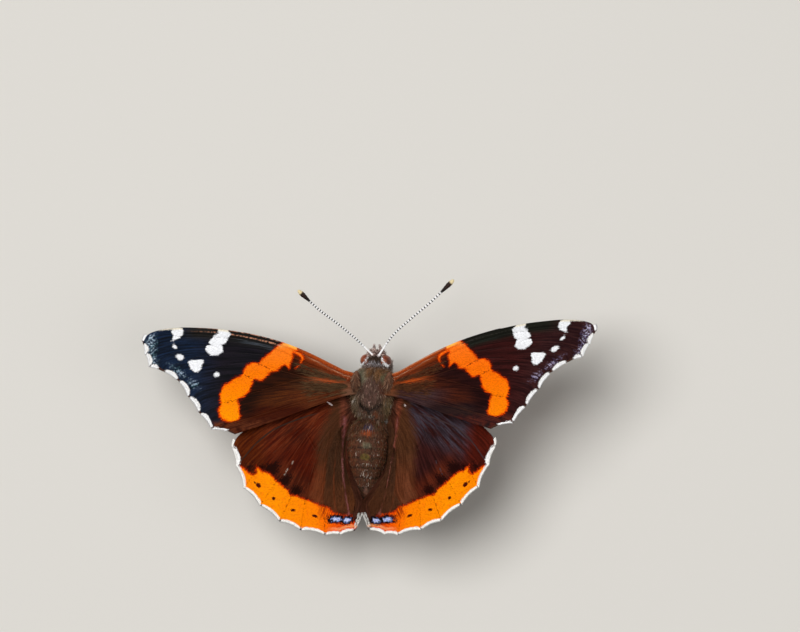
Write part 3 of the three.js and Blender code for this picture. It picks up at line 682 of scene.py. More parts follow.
def paint_forewing(side):
    paint, tones = WingPaint(f"forewing_upper_{side}"), FORE_TONES[side]
    zone = paint.zones(tones)
    x, y, front, band = paint.x, paint.y, paint.kept("front"), paint.kept("band")

    # The inner half, from the olive hairy root through brown to nearly black beside the band
    olive = y.step(-2.3, -1.3) * y.step(1.4, 0.3) * x.step(9.5, 5) * paint.streaks(52, 5).step(0.4, 0.56)
    inner = lay(
        zone["brown"],
        (olive, zone["olive"]),
        (y.step(-1.6, -2.6) * x.step(10.5, 6), zone["lower"]),
        (y.step(-3.4, -4.6) * x.step(4, 8), zone["trail"]),
        (band.step(3.4, 0.8) * y.step(-5.8, -4.4, 0.25, 0.95), zone["dark"]),
        (x.step(2.2, 0.5, 0, 0.8), zone["root"]),
    )
    # The outer half, dark with faint streaks, deep blue or wine towards the margin, with a painted sheen
    # # in streaks along a strip behind the front edge
    painted_sheen = front.step(0.9, 1.1) * front.step(1.7, 1.3) * x.step(17, 14)
    painted_sheen = painted_sheen * paint.streaks(110, 17).step(0.46, 0.58)
    outer = lay(
        zone["field"],
        (x.step(17, 22.5), zone["outer"]),
        (front.step(2.2, 1.1) * x.step(24.5, 21), zone["costa"]),
        (painted_sheen, tones["painted_sheen"]),
    )
    outer_half = (y * 0.72 + x).step(12.6, 13.4)
    corner = y.step(-5.2, -6.2) * paint.plan.noise(1.2).step(0.3, 0.55)
    colour = lay(inner, (outer_half, outer), (corner, zone["corner"]))

    # Orange rays run from the root along the front edge up to the band, with pale threads between
    # them, mottled near the root, and one more ray below
    wavy = (paint.streaks(90, 21) - 0.5) * 0.7 + front
    rays = (wavy * (1 / 1.6)).ramp(
        (0, tones["edge"]), (0.07, "#b85a24"), (0.12, "#b04816"), (0.29, "#963a10"), (0.34, "#4e1e0c"),
        (0.39, "#c08a6a"), (0.44, "#8c3e18"), (0.6, "#6c2b0e"), (1, "#421909"),
    )
    rays = lay(rays, (paint.streaks(140, 29).step(0.48, 0.6) * 0.7, "#6e240a"))
    shoulder = wavy.step(1.5, 1.1) * x.step(9.4, 8.2) * x.step(0, 0.8)
    low_ray = (abs(x * -0.085 + (y + 1.1)) - x.step(1, 3.5, 0.1, 0.24)).step(0.3, 0)
    low_ray = low_ray * x.step(7.5, 2.8) * x.step(0.8, 1.8) * paint.streaks(90, 25).step(0.36, 0.52)
    flushed = front.step(2.7, 1.5) * x.step(8.5, 6.5) * x.step(0.3, 1.2)
    flushed = flushed * paint.streaks(70, 31).step(0.44, 0.6)
    near_root, mottle = shoulder * x.step(6, 2.5), paint.plan.noise(6, 3, 0.7)
    vein = paint.edge("vein", 0.02, 0.05, 0.05, 0.1)
    colour = lay(
        colour,
        (flushed * 0.7, "#8a3812"),
        (shoulder, rays),
        (low_ray, zone["ray"]),
        (near_root * mottle.step(0.46, 0.36) * 0.75, "#3c140a"),
        (near_root * mottle.step(0.6, 0.68) * 0.6, "#e0a488"),
        (vein * 0.35, lay("#6a3a22", (outer_half, "#3a3634"))),
    )

    # The band is golden towards the hind corner and salmon towards the front, with a dark red edge
    # in teeth and three thin dark lines across it
    orange = lay(
        (y * (1 / 12) + 0.5).ramp(
            (0, "#ff9500"), (0.22, "#ff8c00"), (0.42, "#fd7e00"), (0.62, "#fb7808"), (0.82, "#fa7c1c"),
            (0.9, "#fdac50"),
        ),
        (tones["flush"], "#f65c08"),
        (paint.plan.noise(2.5, 4).step(0.5, 0.75) * 0.35, "#fb6c1c"),
        (front.step(0.35, 0.12) * x.step(9.2, 8.4), "#ffb850"),
        (paint.edge((band + 0.12) * -1, 0, 0.3, 0.2, 0.14, 0.9), "#f04e00"),
        (paint.edge("vein", -0.02, 0.05, 0.12, 0.06) * 0.3, "#9a3406"),
        (paint.edge("cuts", 0.02, 0.25, 0.15, 0.06) * 0.9, "#6a1402"),
    )

    # White marks crossed by the veins near the front edge, two broken pale threads along that edge
    # # and patches of pale blue scales near the margin, whose brightest scales carry painted whitish glints
    crossing = paint.edge("vein", 0.01, 0.1, 0.05, 0.06) * front.step(1.7, 1, 0.12, 0.85)
    white = lay("#f4f5f8", (crossing, "#2c2b30"), (front.step(0.45, 0.15), "#efe6d2"))
    speckle = paint.streaks(120, 33) * 0.4 + paint.plan.noise(3.6, 5, 0.75)
    flecks = paint.edge("flecks", 0, 0.5, 1.5, 0.5) * speckle.step(0.67, 0.78)
    threads = front.step(0.12, 0.07).maths("MAXIMUM", abs(front - 0.55).step(0.13, 0.05))
    threads = threads * paint.plan.noise(3.2, 3, 0.7).step(0.45, 0.56) * x.step(9.2, 10) * x.step(23, 16)
    return paint.finish(lay(
        colour,
        (paint.edge("band", 0.14, 0.3, 0.3, 0.14, 1.4), "#5a0a00"),
        (paint.edge("band", 0, 0.22, 0.25, 0.05, 1.1), orange),
        (threads, tones["line"]),
        (flecks, zone["fleck"]),
        # painted whitish glints on the brightest scales of the flecks
        (flecks * paint.shade.step(0.62, 0.8) * 0.8, "#d5dde8"),
        (paint.edge("white", 0, 0.16, 0.2, 0.05, 0.7), white),
        (paint.edge("lunules", 0, 0.16, 0.25, 0.06, 0.3), LUNULE),
    ))


def paint_forewing_under():
    """The underside: a dusky copy of the band and marks, and a marbled brown tip."""
    paint = WingPaint("forewing_under")
    x, y = paint.x, paint.y
    marble = paint.plan.noise(1.1, 5, 0.65)
    return paint.finish(lay(
        "#1d1715",
        (paint.streaks(20).step(0.5, 0.7) * 0.5, "#4a2a20"),
        ((x * 0.25 - paint.kept("margin")).step(2.2, 4.2),
         marble.ramp((0.3, "#3a2c22"), (0.48, "#7a6450"), (0.6, "#a8927a"), (0.75, "#5a4636"))),
        (y.step(-4.2, -6), "#6b584a"),
        (paint.edge("band", 0.1, 0.2, 0.3, 0.15), "#38100a"),
        (paint.edge("band"), (y * (1 / 12) + 0.5).ramp((0.1, "#d9762c"), (0.7, "#d4533a"), (1, "#e0a08c"))),
        (paint.edge(abs(paint.kept("eye")), 0.16, 0.1, 0.1, 0.1), "#5577a0"),
        (paint.edge("white", 0, 0.14, 0.25), "#d9d2c6"),
        (paint.edge("vein", 0.06, 0.05, 0.05, 0.1) * 0.6, "#8d6f50"),
    ))


fore = {
    side: Wing("fore", side, FORE_POINTS, FORE_FRONT, FORE_INNER, FORE_MARGIN, FORE_VEINS, FORE_GAPS,
               fore_camber, FORE_HINGE, pose)
    for side, pose in FORE_POSE.items()
}
under = paint_forewing_under()
for side, wing in fore.items():
    wing_sheet(wing, FORE_GRID, fore_marks, paint_forewing(side), under)

# Hindwings: broad thin sheets like the forewings, hinged behind them and partly under them, each
# with a soft trough along the inner edge that lies against the abdomen.
HIND_HINGE = (2.5, -1.5, 1)
HIND_POSE = {
    "left": {"side": -1, "raise": 7.7, "twist": -4, "sweep": -6.8},
    "right": {"side": 1, "raise": 17.1, "twist": -8, "sweep": -1.8},
}
HIND_POINTS = {
    "rootC": (0.2, 1), "rootR": (0.3, 0.3), "rootCu": (0.3, -0.5), "root2": (0.3, -1.1),
    "root3": (0.3, -1.6), "rootIn": (0.2, -2.1), "radFork": (4.6, -1.3), "cellMid": (6.3, -4.2),
    "cellLow": (5.3, -6.3), "cuFork1": (4.5, -5.3), "cuFork2": (3.3, -3.9), "apex": (16.35, -5.5),
    "rs": (15.9, -7.8), "m1": (15, -10.8), "m2": (12.9, -13.3), "m3": (10.4, -15.55),
    "cuA1": (7.65, -16.9), "cuA2": (4.4, -17.75), "a2": (2.4, -17.75),
}
HIND_VEINS = [
    ("rootR", (5, 0), (10, -1.7), (14, -3.7), "apex"),
    ("rootR", (2.4, -0.4), "radFork"),
    ("radFork", (6.6, -1.75), (10.5, -3.1), (12.9, -4.75), (14.8, -6.7), "rs"),
    ("radFork", (8.2, -4.2), (12.3, -7.7), "m1"),
    ("radFork", "cellMid"),
    ("cellMid", (9.6, -8.9), "m2"),
    ("cellMid", "cellLow"),
    ("cellLow", (7.9, -10.9), "m3"),
    ("rootCu", "cuFork2", "cuFork1", "cellLow"),
    ("cuFork1", (6.4, -11.2), "cuA1"),
    ("cuFork2", (4.4, -10.4), "cuA2"),
    ("root2", (2.3, -6), (3, -12), "a2"),
    ("root3", (1.5, -4.5), (1.75, -8.5), (1.6, -12), (1.1, -15.2), "tornus"),
]
HIND_FRONT = ("rootC", (3, 1.6), (7, 0.8), (11, -0.9), (14.2, -2.7), (15.75, -4.05), "apex")
HIND_INNER = {
    "left": ("rootIn", (0.4, -3.3), (0.9, -5), (1, -6.6), (0.85, -8.4), (0.35, -10.2), (-0.35, -12),
             (-0.8, -13.5), (-0.7, -14.6), (-0.35, -15.9), "tornus"),
    "right": ("rootIn", (-1, -3), (-0.95, -4.6), (-0.85, -6.6), (-0.9, -8.3), (-1.4, -10), (-2, -11.8),
              (-2.3, -13.3), (-1.7, -14.7), (-0.95, -15.9), "tornus"),
}
HIND_CORNER = {"left": (0.55, -17.4), "right": (-0.05, -17.35)}    # the inner corner, by side
HIND_MARGIN = ("apex", "rs", "m1", "m2", "m3", "cuA1", "cuA2", "a2", "tornus")
HIND_GAPS = (-0.1, 0.1, 0.2, 0.22, 0.24, 0.24, 0.24, 0.15, 0.1)
HIND_GRID = (220, 190)

HIND_BAND = [
    (15.25, -7.8), (14.7, -8.15), (14.25, -8.7), (13.65, -9.1), (13.2, -8.8), (13.1, -7.95),
    (12.4, -8.65), (11.65, -8.9), (11, -9.5), (10.4, -10.2), (9.8, -10.75), (9.1, -11.3), (8.75, -12.1),
    (7.9, -12.25), (7.15, -12.65), (6.3, -12.95), (5.6, -13.3), (4.75, -13.75), (3.85, -14),
    (3.3, -14.7), (2.2, -15.05), (0.9, -15.2), (0.3, -15.9), (0.4, -17), (0, -19), (10, -19.5),
    (16, -15), (18.5, -9), (17, -7.5),
]
HIND_SPOTS = [
    (12.95, -10.5, 0.4, 0.28, 42), (13.42, -10.12, 0.22, 0.11, 42), (11, -12.4, 0.26, 0.22, 55),
    (8.5, -14.1, 0.32, 0.22, 5), (5.65, -15.05, 0.37, 0.2, 25),
]
BLUE_SPOTS = {
    "left": [(2.8, -15.65, 0.6, 0.27, 4), (1.42, -15.85, 0.47, 0.27, -6)],
    "right": [(2.42, -15.74, 0.6, 0.27, 4), (0.88, -15.95, 0.5, 0.28, -4)],
}
DARK_PATCHES = [
    (14.3, -8.25, 0.85, 0.5, -42), (12.5, -8.25, 0.8, 0.5, -10), (11.2, -8.6, 1.25, 0.9, -35),
    (9.5, -10.2, 1.1, 0.75, -45), (8, -11.65, 0.95, 0.7, -25),
]
HAIR_EDGE = [(3, -1), (4.4, -3.5), (5, -5), (5.2, -8), (5.7, -11), (6.6, -13.4)]
STREAKS = [
    [(8.25, -7.6, 0.05), (8.4, -7.95, 0.05)],
    [(8.95, -8.5, 0.03), (9.2, -8.9, 0.07), (9.45, -9.35, 0.05)],
]
HIND_GLINT = {
    "left": [(2.8, -0.35, 0.05), (3.1, -0.05, 0.1), (3.55, 0.22, 0.05)],
    "right": [(2.1, -0.1, 0.04), (2.25, -0.2, 0.07), (2.4, -0.35, 0.04)],
}
FOLD = [(1.3, -2), (1.55, -4.5), (1.75, -8.5), (1.6, -12), (1.15, -15.2)]


def hind_camber(x, y):
    trough = 3.2 * (1 - np.exp(-0.75 * np.maximum(0, 1.75 - x))) * np.sin(np.pi * np.clip(-y / 15, 0, 1))
    return -(x ** 2) / 500 - (y + 8) ** 2 / 260 - trough


def hind_marks(places, wing):
    side, (x, y) = wing.side, places.T
    return {
        "hair": x - np.interp(-y, *np.abs(HAIR_EDGE).T[::-1]),
        "streak": nearest(places, stroke, [(line,) for line in STREAKS]),
        "rib": distance(places, wing.veins[2]),
        "fold": distance(places, through(FOLD)),
        "band": mark(places, HIND_BAND, smooth=False),
        "spots": nearest(places, spot, HIND_SPOTS),
        "blue": nearest(places, spot, BLUE_SPOTS[side]),
        "patches": nearest(places, spot, DARK_PATCHES),
        "lunules": lunules(places, wing, np.interp(y, [-8.2, -7.4], [0.05, 0.32])),
        "glint": stroke(places, HIND_GLINT[side]),
        "margin": distance(places, wing.margin),
    }


# The darker and brighter streaks of each zone. The right wing's tones are duller and more violet than the
# left's: painted sheen, as the light strikes its scales at another angle
HIND_TONES = {
    "left": {
        "brown": ("#390b03", "#521908"), "front": ("#3c150a", "#6a2c15"), "outer": ("#401202", "#5d270b"),
        "strip": ("#3c1408", "#5a2410"), "hair": ("#3c2211", "#4c2a19"), "low": ("#562812", "#6a341c"),
        "fold": ("#4a2014", "#78422f"), "inner": ("#2d160e", "#4e2c20"), "purple": "#84484a",
        "line": "#b07a76", "rib": "#2c221d", "streak": "#b8a698", "patch": "#1a0603",
    },
    "right": {
        "brown": ("#260e0c", "#3c1a18"), "front": ("#291e23", "#423a43"), "outer": ("#3a0e06", "#551a0f"),
        "strip": ("#3e150b", "#5a2413"), "hair": ("#3c2011", "#52301c"), "low": ("#4e2613", "#683822"),
        "fold": ("#4a2016", "#84452f"), "inner": ("#2e170d", "#4c2a1e"), "purple": "#864640",
        "line": "#c08a80", "rib": "#3a2c2e", "streak": "#4a4248", "patch": "#1c0504",
    },
}


def paint_hindwing(side):
    paint, tones = WingPaint(f"hindwing_upper_{side}"), HIND_TONES[side]
    zone = paint.zones(tones)
    x, y, band = paint.x, paint.y, paint.kept("band")

    # Brown field, brighter in front, where the right wing's grey-violet streaks are painted sheen, a hairy
    # # brown inner third and a folded inner edge, darkened at the very edge by painted shade, with a broken
    # # pale line along the fold that is a painted highlight on its ridge
    front_tone_and_sheen = (x * 0.32 + y).step(-4.2, -1.6) * paint.streaks(30, 61).step(0.36, 0.56)
    dotted = paint.plan.stretched(6, 1.6, 1).noise(1, 3, 0.7).step(0.44, 0.56)
    colour = lay(
        zone["brown"],
        # brighter front zone, on the right wing a painted grey-violet sheen
        (front_tone_and_sheen, zone["front"]),
        (x.step(11, 13.5), zone["outer"]),
        (band.step(3.6, 1.6) * x.step(12, 9), zone["strip"]),
        (paint.edge("hair", 0, 0.5, 1.2, 1.5, 1), lay(zone["hair"], (y.step(-6, -11), zone["low"]))),
        (paint.edge(x, 1.8, 0.3, 0.5, 0.5), zone["fold"]),
        # painted shade along the inner edge, where the wing folds down beside the abdomen
        (paint.edge(x, 1, 0.3, 0.5, 0.7), zone["inner"]),
        (paint.edge("fold", 0.2, 0.3, 0.5, 0.5) * paint.streaks(70, 81).step(0.3, 0.56) * 0.8,
         tones["purple"]),
        # painted highlight along the ridge of the fold
        (paint.edge("fold", 0.05, 0.2, 0.2, 0.2) * dotted * 0.6, tones["line"]),
        (paint.edge("rib", 0.08, 0.05, 0.05, 0.08) * x.step(4.4, 6) * 0.95, tones["rib"]),
        (paint.edge("patches", 0, 0.5, 0.8, 0.35, 1.6) * 0.92, tones["patch"]),
        (paint.edge("streak", 0, 0.15, 0.1, 0.08) * 0.8, tones["streak"]),
        (paint.edge("vein", 0.01, 0.05, 0.05, 0.09) * x.step(3, 5) * 0.28, "#75503f"),
    )

    # The band along the margin, red and streaky towards the inner corner, with black dots and two
    # blue spots
    orange = lay(
        (x * (1 / 16)).ramp(
            (0.1, "#da4406"), (0.2, "#ee5400"), (0.34, "#fd8000"), (0.7, "#ff9000"), (1, "#fd8400")
        ),
        (paint.plan.noise(2.2, 4).step(0.5, 0.75) * 0.4, "#f26206"),
        (paint.edge((band + 0.12) * -1, 0, 0.3, 0.3, 0.16, 0.8), "#e64400"),
        (paint.edge("vein", 0.035, 0.08, 0.08, 0.06) * 0.75, "#6c1c04"),
    )
    comb = paint.streaks(190, 41).step(0.5, 0.56) * x.step(6, 4) * y.step(-15.9, -14.9)
    comb = comb * band.step(0.1, -0.05)
    rim = abs(paint.plan.noise(3, 3, 0.6) * 0.5 + paint.kept("margin") - (FRINGE + 0.62))
    return paint.finish(lay(
        colour,
        (paint.edge("band", 0.15, 0.4, 0.4, 0.16, 1.2), "#520c02"),
        (paint.edge("band", 0, 0.3, 0.4, 0.05, 1), orange),
        (comb * 0.9, "#8a2203"),
        (rim.step(0.26, 0.1) * x.step(4.6, 2.6) * 0.7, "#f29c62"),
        (paint.edge("spots", 0, 0.12, 0.14, 0.08), "#480c04"),
        (paint.edge("blue", 0.36, 0.4, 0.4, 0.12), "#0a060c"),
        (paint.edge("blue", 0, 0.25, 0.3, 0.08, 0.7), lay("#7c90dc", (paint.shade, "#e4eaff"))),
        (paint.edge("lunules", 0, 0.16, 0.25, 0.06, 0.3), LUNULE),
        (paint.edge("glint", 0, 0.1, 0.1, 0.06, 0.3), "#f6e4e0"),
    ))


def paint_hindwing_under():
    """The underside: bark-like brown and grey marbling, darker rings near the margin."""
    paint = WingPaint("hindwing_under")
    marble = paint.plan.noise(0.9, 6, 0.7)
    ring = abs(paint.kept("margin") - 2.1)
    return paint.finish(lay(
        marble.ramp(
            (0.3, "#221a18"), (0.43, "#4a3a34"), (0.52, "#6e6058"), (0.6, "#3c3c44"), (0.72, "#a08c78")
        ),
        (paint.edge(ring, 0.3, 0.4, 0.9, 0.4) * 0.7, "#2c2420"),
        (paint.edge("margin", 0.9, 0.3, 0.8, 0.5) * 0.6, "#8c8078"),
        (paint.edge("vein", 0.06, 0.05, 0.05, 0.1) * 0.6, "#8d7458"),
    ))


hind = {
    side: Wing("hind", side, {**HIND_POINTS, "tornus": HIND_CORNER[side]}, HIND_FRONT, HIND_INNER[side],
               HIND_MARGIN, HIND_VEINS, HIND_GAPS, hind_camber, HIND_HINGE, pose)
    for side, pose in HIND_POSE.items()
}
under = paint_hindwing_under()
for side, wing in hind.items():
    wing_sheet(wing, HIND_GRID, hind_marks, paint_hindwing(side), under)

# Fringes: a row of narrow hair scales round each wing's margin, white between the veins and dark
# at their tips, set in the edge of the sheet.
FRINGE_STEP = 0.028       # spacing of a row of hair scales along the margin
FRINGE_ROWS = 3
CORNER_HAIRS = 160        # hair scales round the wing's front corner


def tufts(name, roots, ways, lengths, widths, bends, unwrap, kept, rings=3, seed=1):
    """Solid three-sided hairs tapering to a point, in one mesh, from roots in millimetres."""
    count, corners = len(roots), 3
    ways = unit(ways)
    side = unit(np.cross(ways, unit(np.random.default_rng(seed).normal(size=(count, 3)))))
    other = np.cross(ways, side)
    points, along = [], []
    for ring in range(rings + 1):
        share = ring / rings
        centre = roots + ways * (lengths * share)[:, None] + bends * (lengths * share ** 2)[:, None]
        radius = (widths / 2 * (1 - share ** 2))[:, None]
        for corner in range(corners if ring < rings else 1):
            angle = corner * math.tau / corners
            points.append(centre + (side * math.cos(angle) + other * math.sin(angle)) * radius)
            along.append(share)
    each = len(points)
    turn = [(c, (c + 1) % corners) for c in range(corners)]
    last = (rings - 1) * corners
    faces = [(2, 1, 0)]
    for low in range(0, last, corners):
        faces += [(low + a, low + b, low + corners + b, low + corners + a) for a, b in turn]
    faces += [(last + a, last + b, last + corners) for a, b in turn]
    order = np.concatenate(faces)
    sizes = np.tile([len(face) for face in faces], count)

    mesh = bpy.data.meshes.new(name)
    mesh.vertices.add(count * each)
    place_points(mesh, np.stack(points, axis=1).reshape(-1, 3))
    mesh.loops.add(count * len(order))
    mesh.loops.foreach_set("vertex_index", (order + np.arange(count)[:, None] * each).ravel())
    mesh.polygons.add(len(sizes))
    mesh.polygons.foreach_set("loop_start", np.append(0, np.cumsum(sizes)[:-1]))
    mesh.update(calc_edges=True)
    patch = np.array([[(v % corners - 1) * 0.001, along[v] * 0.003] for v in range(each)])
    uv = np.clip(unwrap, 0.002, 0.995)[:, None] + patch[order][None]
    mesh.uv_layers.new(name="OFBake").data.foreach_set("uv", uv.astype(np.float32).ravel())
    for attribute, values in kept.items():
        store(mesh, attribute, np.repeat(values, each, axis=0))
    store(mesh, "along", np.tile(along, count))
    made = bpy.data.objects.new(name, mesh)
    bpy.context.collection.objects.link(made)
    return made


def fringe(wing, material, corner, seed):
    """A fringe whose hairs fill the hollows of the margin and reach round the wing's front corner,
    from a share of its front edge."""
    rng = np.random.default_rng(seed)
    reach = np.linalg.norm(np.diff(wing.margin, axis=0), axis=1).sum()
    t = np.sort(rng.uniform(0, 1, round(reach / FRINGE_STEP) * FRINGE_ROWS))
    s = wing.fringe_root(t) - 0.002
    around = rng.uniform(corner, s[0], CORNER_HAIRS)
    front = wing.place(around, 0 * around)
    flat = np.vstack([wing.place(s, t), front])
    way = np.vstack([wing.outwards(s, t), unit(front - wing.place(around - 0.08, 0 * around + 0.2))])
    count = len(flat)
    here, outward, up = wing.frame(flat, way)
    ways = outward + rng.normal(0, 0.08, (count, 3)) + up * rng.uniform(-0.1, 0.12, (count, 1))
    white = from_gaps(flat, wing)
    lengths = np.interp(from_gaps(flat, wing, 0), [0, 0.5, 1.2], [0.32, 0.44, 0.48])
    lengths = lengths * rng.uniform(0.8, 1.08, count) * np.interp(white, [-0.1, 0.1], [0.8, 1])
    kept = {"white": white, "tuft": rng.uniform(0, 1, count)}
    unwrap = np.column_stack([np.append(t, around - corner), np.full(count, 0.5)])
    made = tufts(f"{wing.name}_fringe_{wing.side}", here, ways, lengths, rng.uniform(0.07, 0.12, count),
                 up * 0.02, unwrap, kept, rings=2, seed=seed)
    dress(made, material, f"{wing.name}wing_scales")


def paint_fringe(name, dark, pale):
    paint = Paint(name, rough=0.7, specular=0.15)
    share = paint.kept("tuft") * 0.2 + paint.kept("white")
    return paint.finish(lay(dark, (share.step(0.05, 0.16), pale)))


white_hairs = paint_fringe("fore_fringe", "#4a2c20", "#ffffff")
hind_hairs = paint_fringe("hind_fringe", "#3a1c10", "#fffdf8")
for side in ("left", "right"):
    fringe(fore[side], white_hairs, corner=0.955, seed=11)
    fringe(hind[side], hind_hairs, corner=0.93, seed=12)

# Body: head, thorax and abdomen are one firm shell of cuticle, the abdomen in rings that slide
# into one another, all under a coat of short hair and scales. Neck and waist are narrow.
BODY_RINGS = [  # y ahead, half width, height above and depth below the axis, the axis's z and x
    (-14.32, 0, 0, 0, -1.26, -0.53), (-14.2, 0.3, 0.3, 0.3, -1.25, -0.52),
    (-13.5, 0.85, 0.65, 0.65, -1.15, -0.46), (-12.1, 1.72, 1.2, 1.2, -0.95, -0.42),
    (-10.4, 2.45, 1.65, 1.65, -0.7, -0.42), (-8.8, 2.85, 1.9, 1.85, -0.5, -0.45),
    (-7.2, 2.98, 1.95, 1.9, -0.38, -0.5), (-5.6, 2.8, 1.8, 1.8, -0.25, -0.48),
    (-4.5, 2.35, 1.6, 1.6, -0.15, -0.3), (-3.95, 2, 1.4, 1.35, -0.1, -0.2),
    (-3.65, 1.8, 1.3, 1.2, -0.05, -0.12), (-3.4, 1.85, 1.45, 1.35, 0, -0.05),
    (-3.1, 2.05, 1.75, 1.7, 0, 0), (-2.2, 2.55, 2.3, 2.15, 0, 0), (-0.9, 2.85, 2.6, 2.45, 0, 0),
    (0.6, 2.9, 2.65, 2.45, 0, 0), (1.8, 2.65, 2.4, 2.15, 0, 0), (2.6, 2.2, 1.95, 1.7, 0, 0),
    (3.05, 1.75, 1.6, 1.35, 0, 0), (3.35, 1.3, 1.25, 1.05, 0, 0), (3.5, 1.05, 1.02, 0.88, 0, 0),
    (3.65, 1.05, 1, 0.88, 0, 0),
    (3.9, 1.28, 1.22, 1.12, 0, 0), (4.4, 1.35, 1.4, 1.3, 0, 0), (5, 1.15, 1.15, 1.1, -0.02, 0),
    (5.4, 0.75, 0.7, 0.75, -0.08, 0), (5.55, 0.4, 0.35, 0.4, -0.12, 0), (5.6, 0, 0, 0, -0.13, 0),
]
COAT_DEPTH = 0.2          # how far the shell lies below the solids, which reach out to the coat
ABDOMEN_FRONT, ABDOMEN_END = -3.9, -13.6
SEGMENT = 1.28            # length of one ring of the abdomen
GROOVE = 0.09
SHIELD_LINE = [(-1.5, -1.5), (-0.7, -2.15), (0, -2.7), (0.7, -2.15), (1.5, -1.5)]
SHIELD_FURROW = 0.16

body_line = through(BODY_RINGS, 0.04)


def body_place(share, angle):
    """Places on the body, where share runs from tail to brow and angle starts at its right side."""
    y, half, top, bottom, z, x = at_share(body_line, share).T
    ring = np.mod(ABDOMEN_FRONT - y, SEGMENT) / SEGMENT
    groove = GROOVE * np.exp(-((ring - 0.5) / 0.5) ** 20) - GROOVE
    groove = np.where((y < ABDOMEN_FRONT) & (y > ABDOMEN_END), groove, 0)
    narrow = np.minimum(1, half / 0.8)
    inset = COAT_DEPTH * narrow - groove
    px = np.cos(angle) * (half - np.minimum(inset, half * 0.9))
    pz = np.sin(angle) * (np.where(np.sin(angle) > 0, top, bottom) - inset * narrow)
    pz = np.where(half < 1e-6, 0, pz)
    shield = distance(np.column_stack([px, y]), np.array(SHIELD_LINE))
    pz -= np.where(np.sin(angle) > 0, SHIELD_FURROW * np.exp(-(shield / SHIELD_FURROW) ** 2), 0)
    return np.column_stack([px + x, y, pz + z])


def body_normal(share, angle):
    step = 0.002
    along = body_place(np.minimum(share + step, 1), angle) - body_place(np.maximum(share - step, 0), angle)
    around = body_place(share, angle + step) - body_place(share, angle - step)
    return unit(np.cross(around, along)) * -1


def ball(name, segments, rings):
    bpy.ops.object.select_all(action="DESELECT")
    bpy.ops.mesh.primitive_uv_sphere_add(segments=segments, ring_count=rings, radius=1)
    made = bpy.context.object
    made.name = made.data.name = name
    return made, np.array([v.co for v in made.data.vertices])


skin, round_ball = ball("body_skin", 112, 240)
share = np.arccos(np.clip(-round_ball[:, 2], -1, 1)) / math.pi
places = body_place(share, np.arctan2(round_ball[:, 1], round_ball[:, 0]))
place_points(skin.data, places)
store(skin.data, "place", places)
store(skin.data, "tuft", np.full(len(places), 0.4))
store(skin.data, "along", np.zeros(len(places)))
skin.data.flip_normals()

# Colours of skin and coat by place: a dusky disc between olive and golden shoulders, the olive partly
# # hair colour and partly painted sheen, reddish brown behind with pale specks that are painted glints,
# # a whitish collar and a pinkish brow. The blue, orange, grey-olive and olive-yellow patches along the
# # front rings of the abdomen are painted glints as well. Seen from above, each patch lies at x and y,
# # with its half width and half length, its strength and its tone.
BODY_PATCHES = [
    (0.05, -0.4, 1.4, 1.9, 0.85, "#5c4038"), (1.75, 0.5, 0.6, 0.9, 0.7, "#6c301e"),
    (-1.35, 2.05, 0.75, 1.0, 0.9, "#8c8870"), (-0.5, 2.55, 0.5, 0.8, 0.7, "#80542e"),
    (0.85, 2.4, 0.8, 0.85, 0.75, "#8a6038"), (1.6, 1.9, 0.4, 0.6, 0.8, "#838062"),
    (2.2, 1.3, 0.45, 0.6, 0.8, "#b4602a"), (0.12, 2.1, 0.13, 1.0, 0.75, "#35241a"),
    (-2, -1.3, 0.5, 1, 0.55, "#706450"), (2.25, -1.5, 0.55, 0.9, 0.6, "#86704c"),
    (1, -2.95, 0.5, 0.35, 0.7, "#94502e"), (-0.05, -1.75, 0.12, 0.12, 0.9, "#e6b8a8"),
    (0, -3.55, 1, 0.1, 0.8, "#1c120c"), (-0.14, -4.75, 0.6, 0.3, 0.75, "#3e3c60"),
    (-0.22, -5.55, 0.8, 0.4, 0.7, "#a0481e"), (-0.23, -7.28, 0.55, 0.36, 0.55, "#77745c"),
    (-0.3, -8.84, 0.55, 0.4, 0.55, "#6b5d22"), (-0.2, -13.1, 0.3, 0.4, 0.35, "#94695c"),
]
GLINT_SPECKS = [
    (-2.1, -0.95, 0.22, 0.3), (2.25, -1.3, 0.2, 0.3), (-1.5, -2.7, 0.35, 0.2), (0, -3.25, 0.6, 0.14),
    (-0.1, -4.7, 0.6, 0.28), (-1.15, -6.45, 0.3, 0.25), (1, -6.4, 0.45, 0.22),
    (-1.5, -8.2, 0.25, 0.35), (1, -8.2, 0.4, 0.35), (-0.1, -9.64, 1.25, 0.25), (-0.25, -10.95, 0.9, 0.6),
    (-0.2, -12.25, 0.55, 0.35),
]
body_tones, (place, tuft), out = new_group(
    "body tones", {"Place": "Vector", "Tuft": "Float"}, {"Color": "Color"}
)
x, y, z = place.split()
aside = abs(x)
behind = (y + 3.5).maths("MINIMUM", 0)
z = behind * behind * 0.011 + z
uneven = tuft * 0.35 + place.noise(2.4, 5, 0.8)


def patch(x0, y0, half_x, half_y):
    across, along = (x - x0) * (1 / half_x), (y - y0) * (1 / half_y)
    return (uneven * 5 + (across * across + along * along)).step(5.3, 3.7) * z.step(0, 0.6)


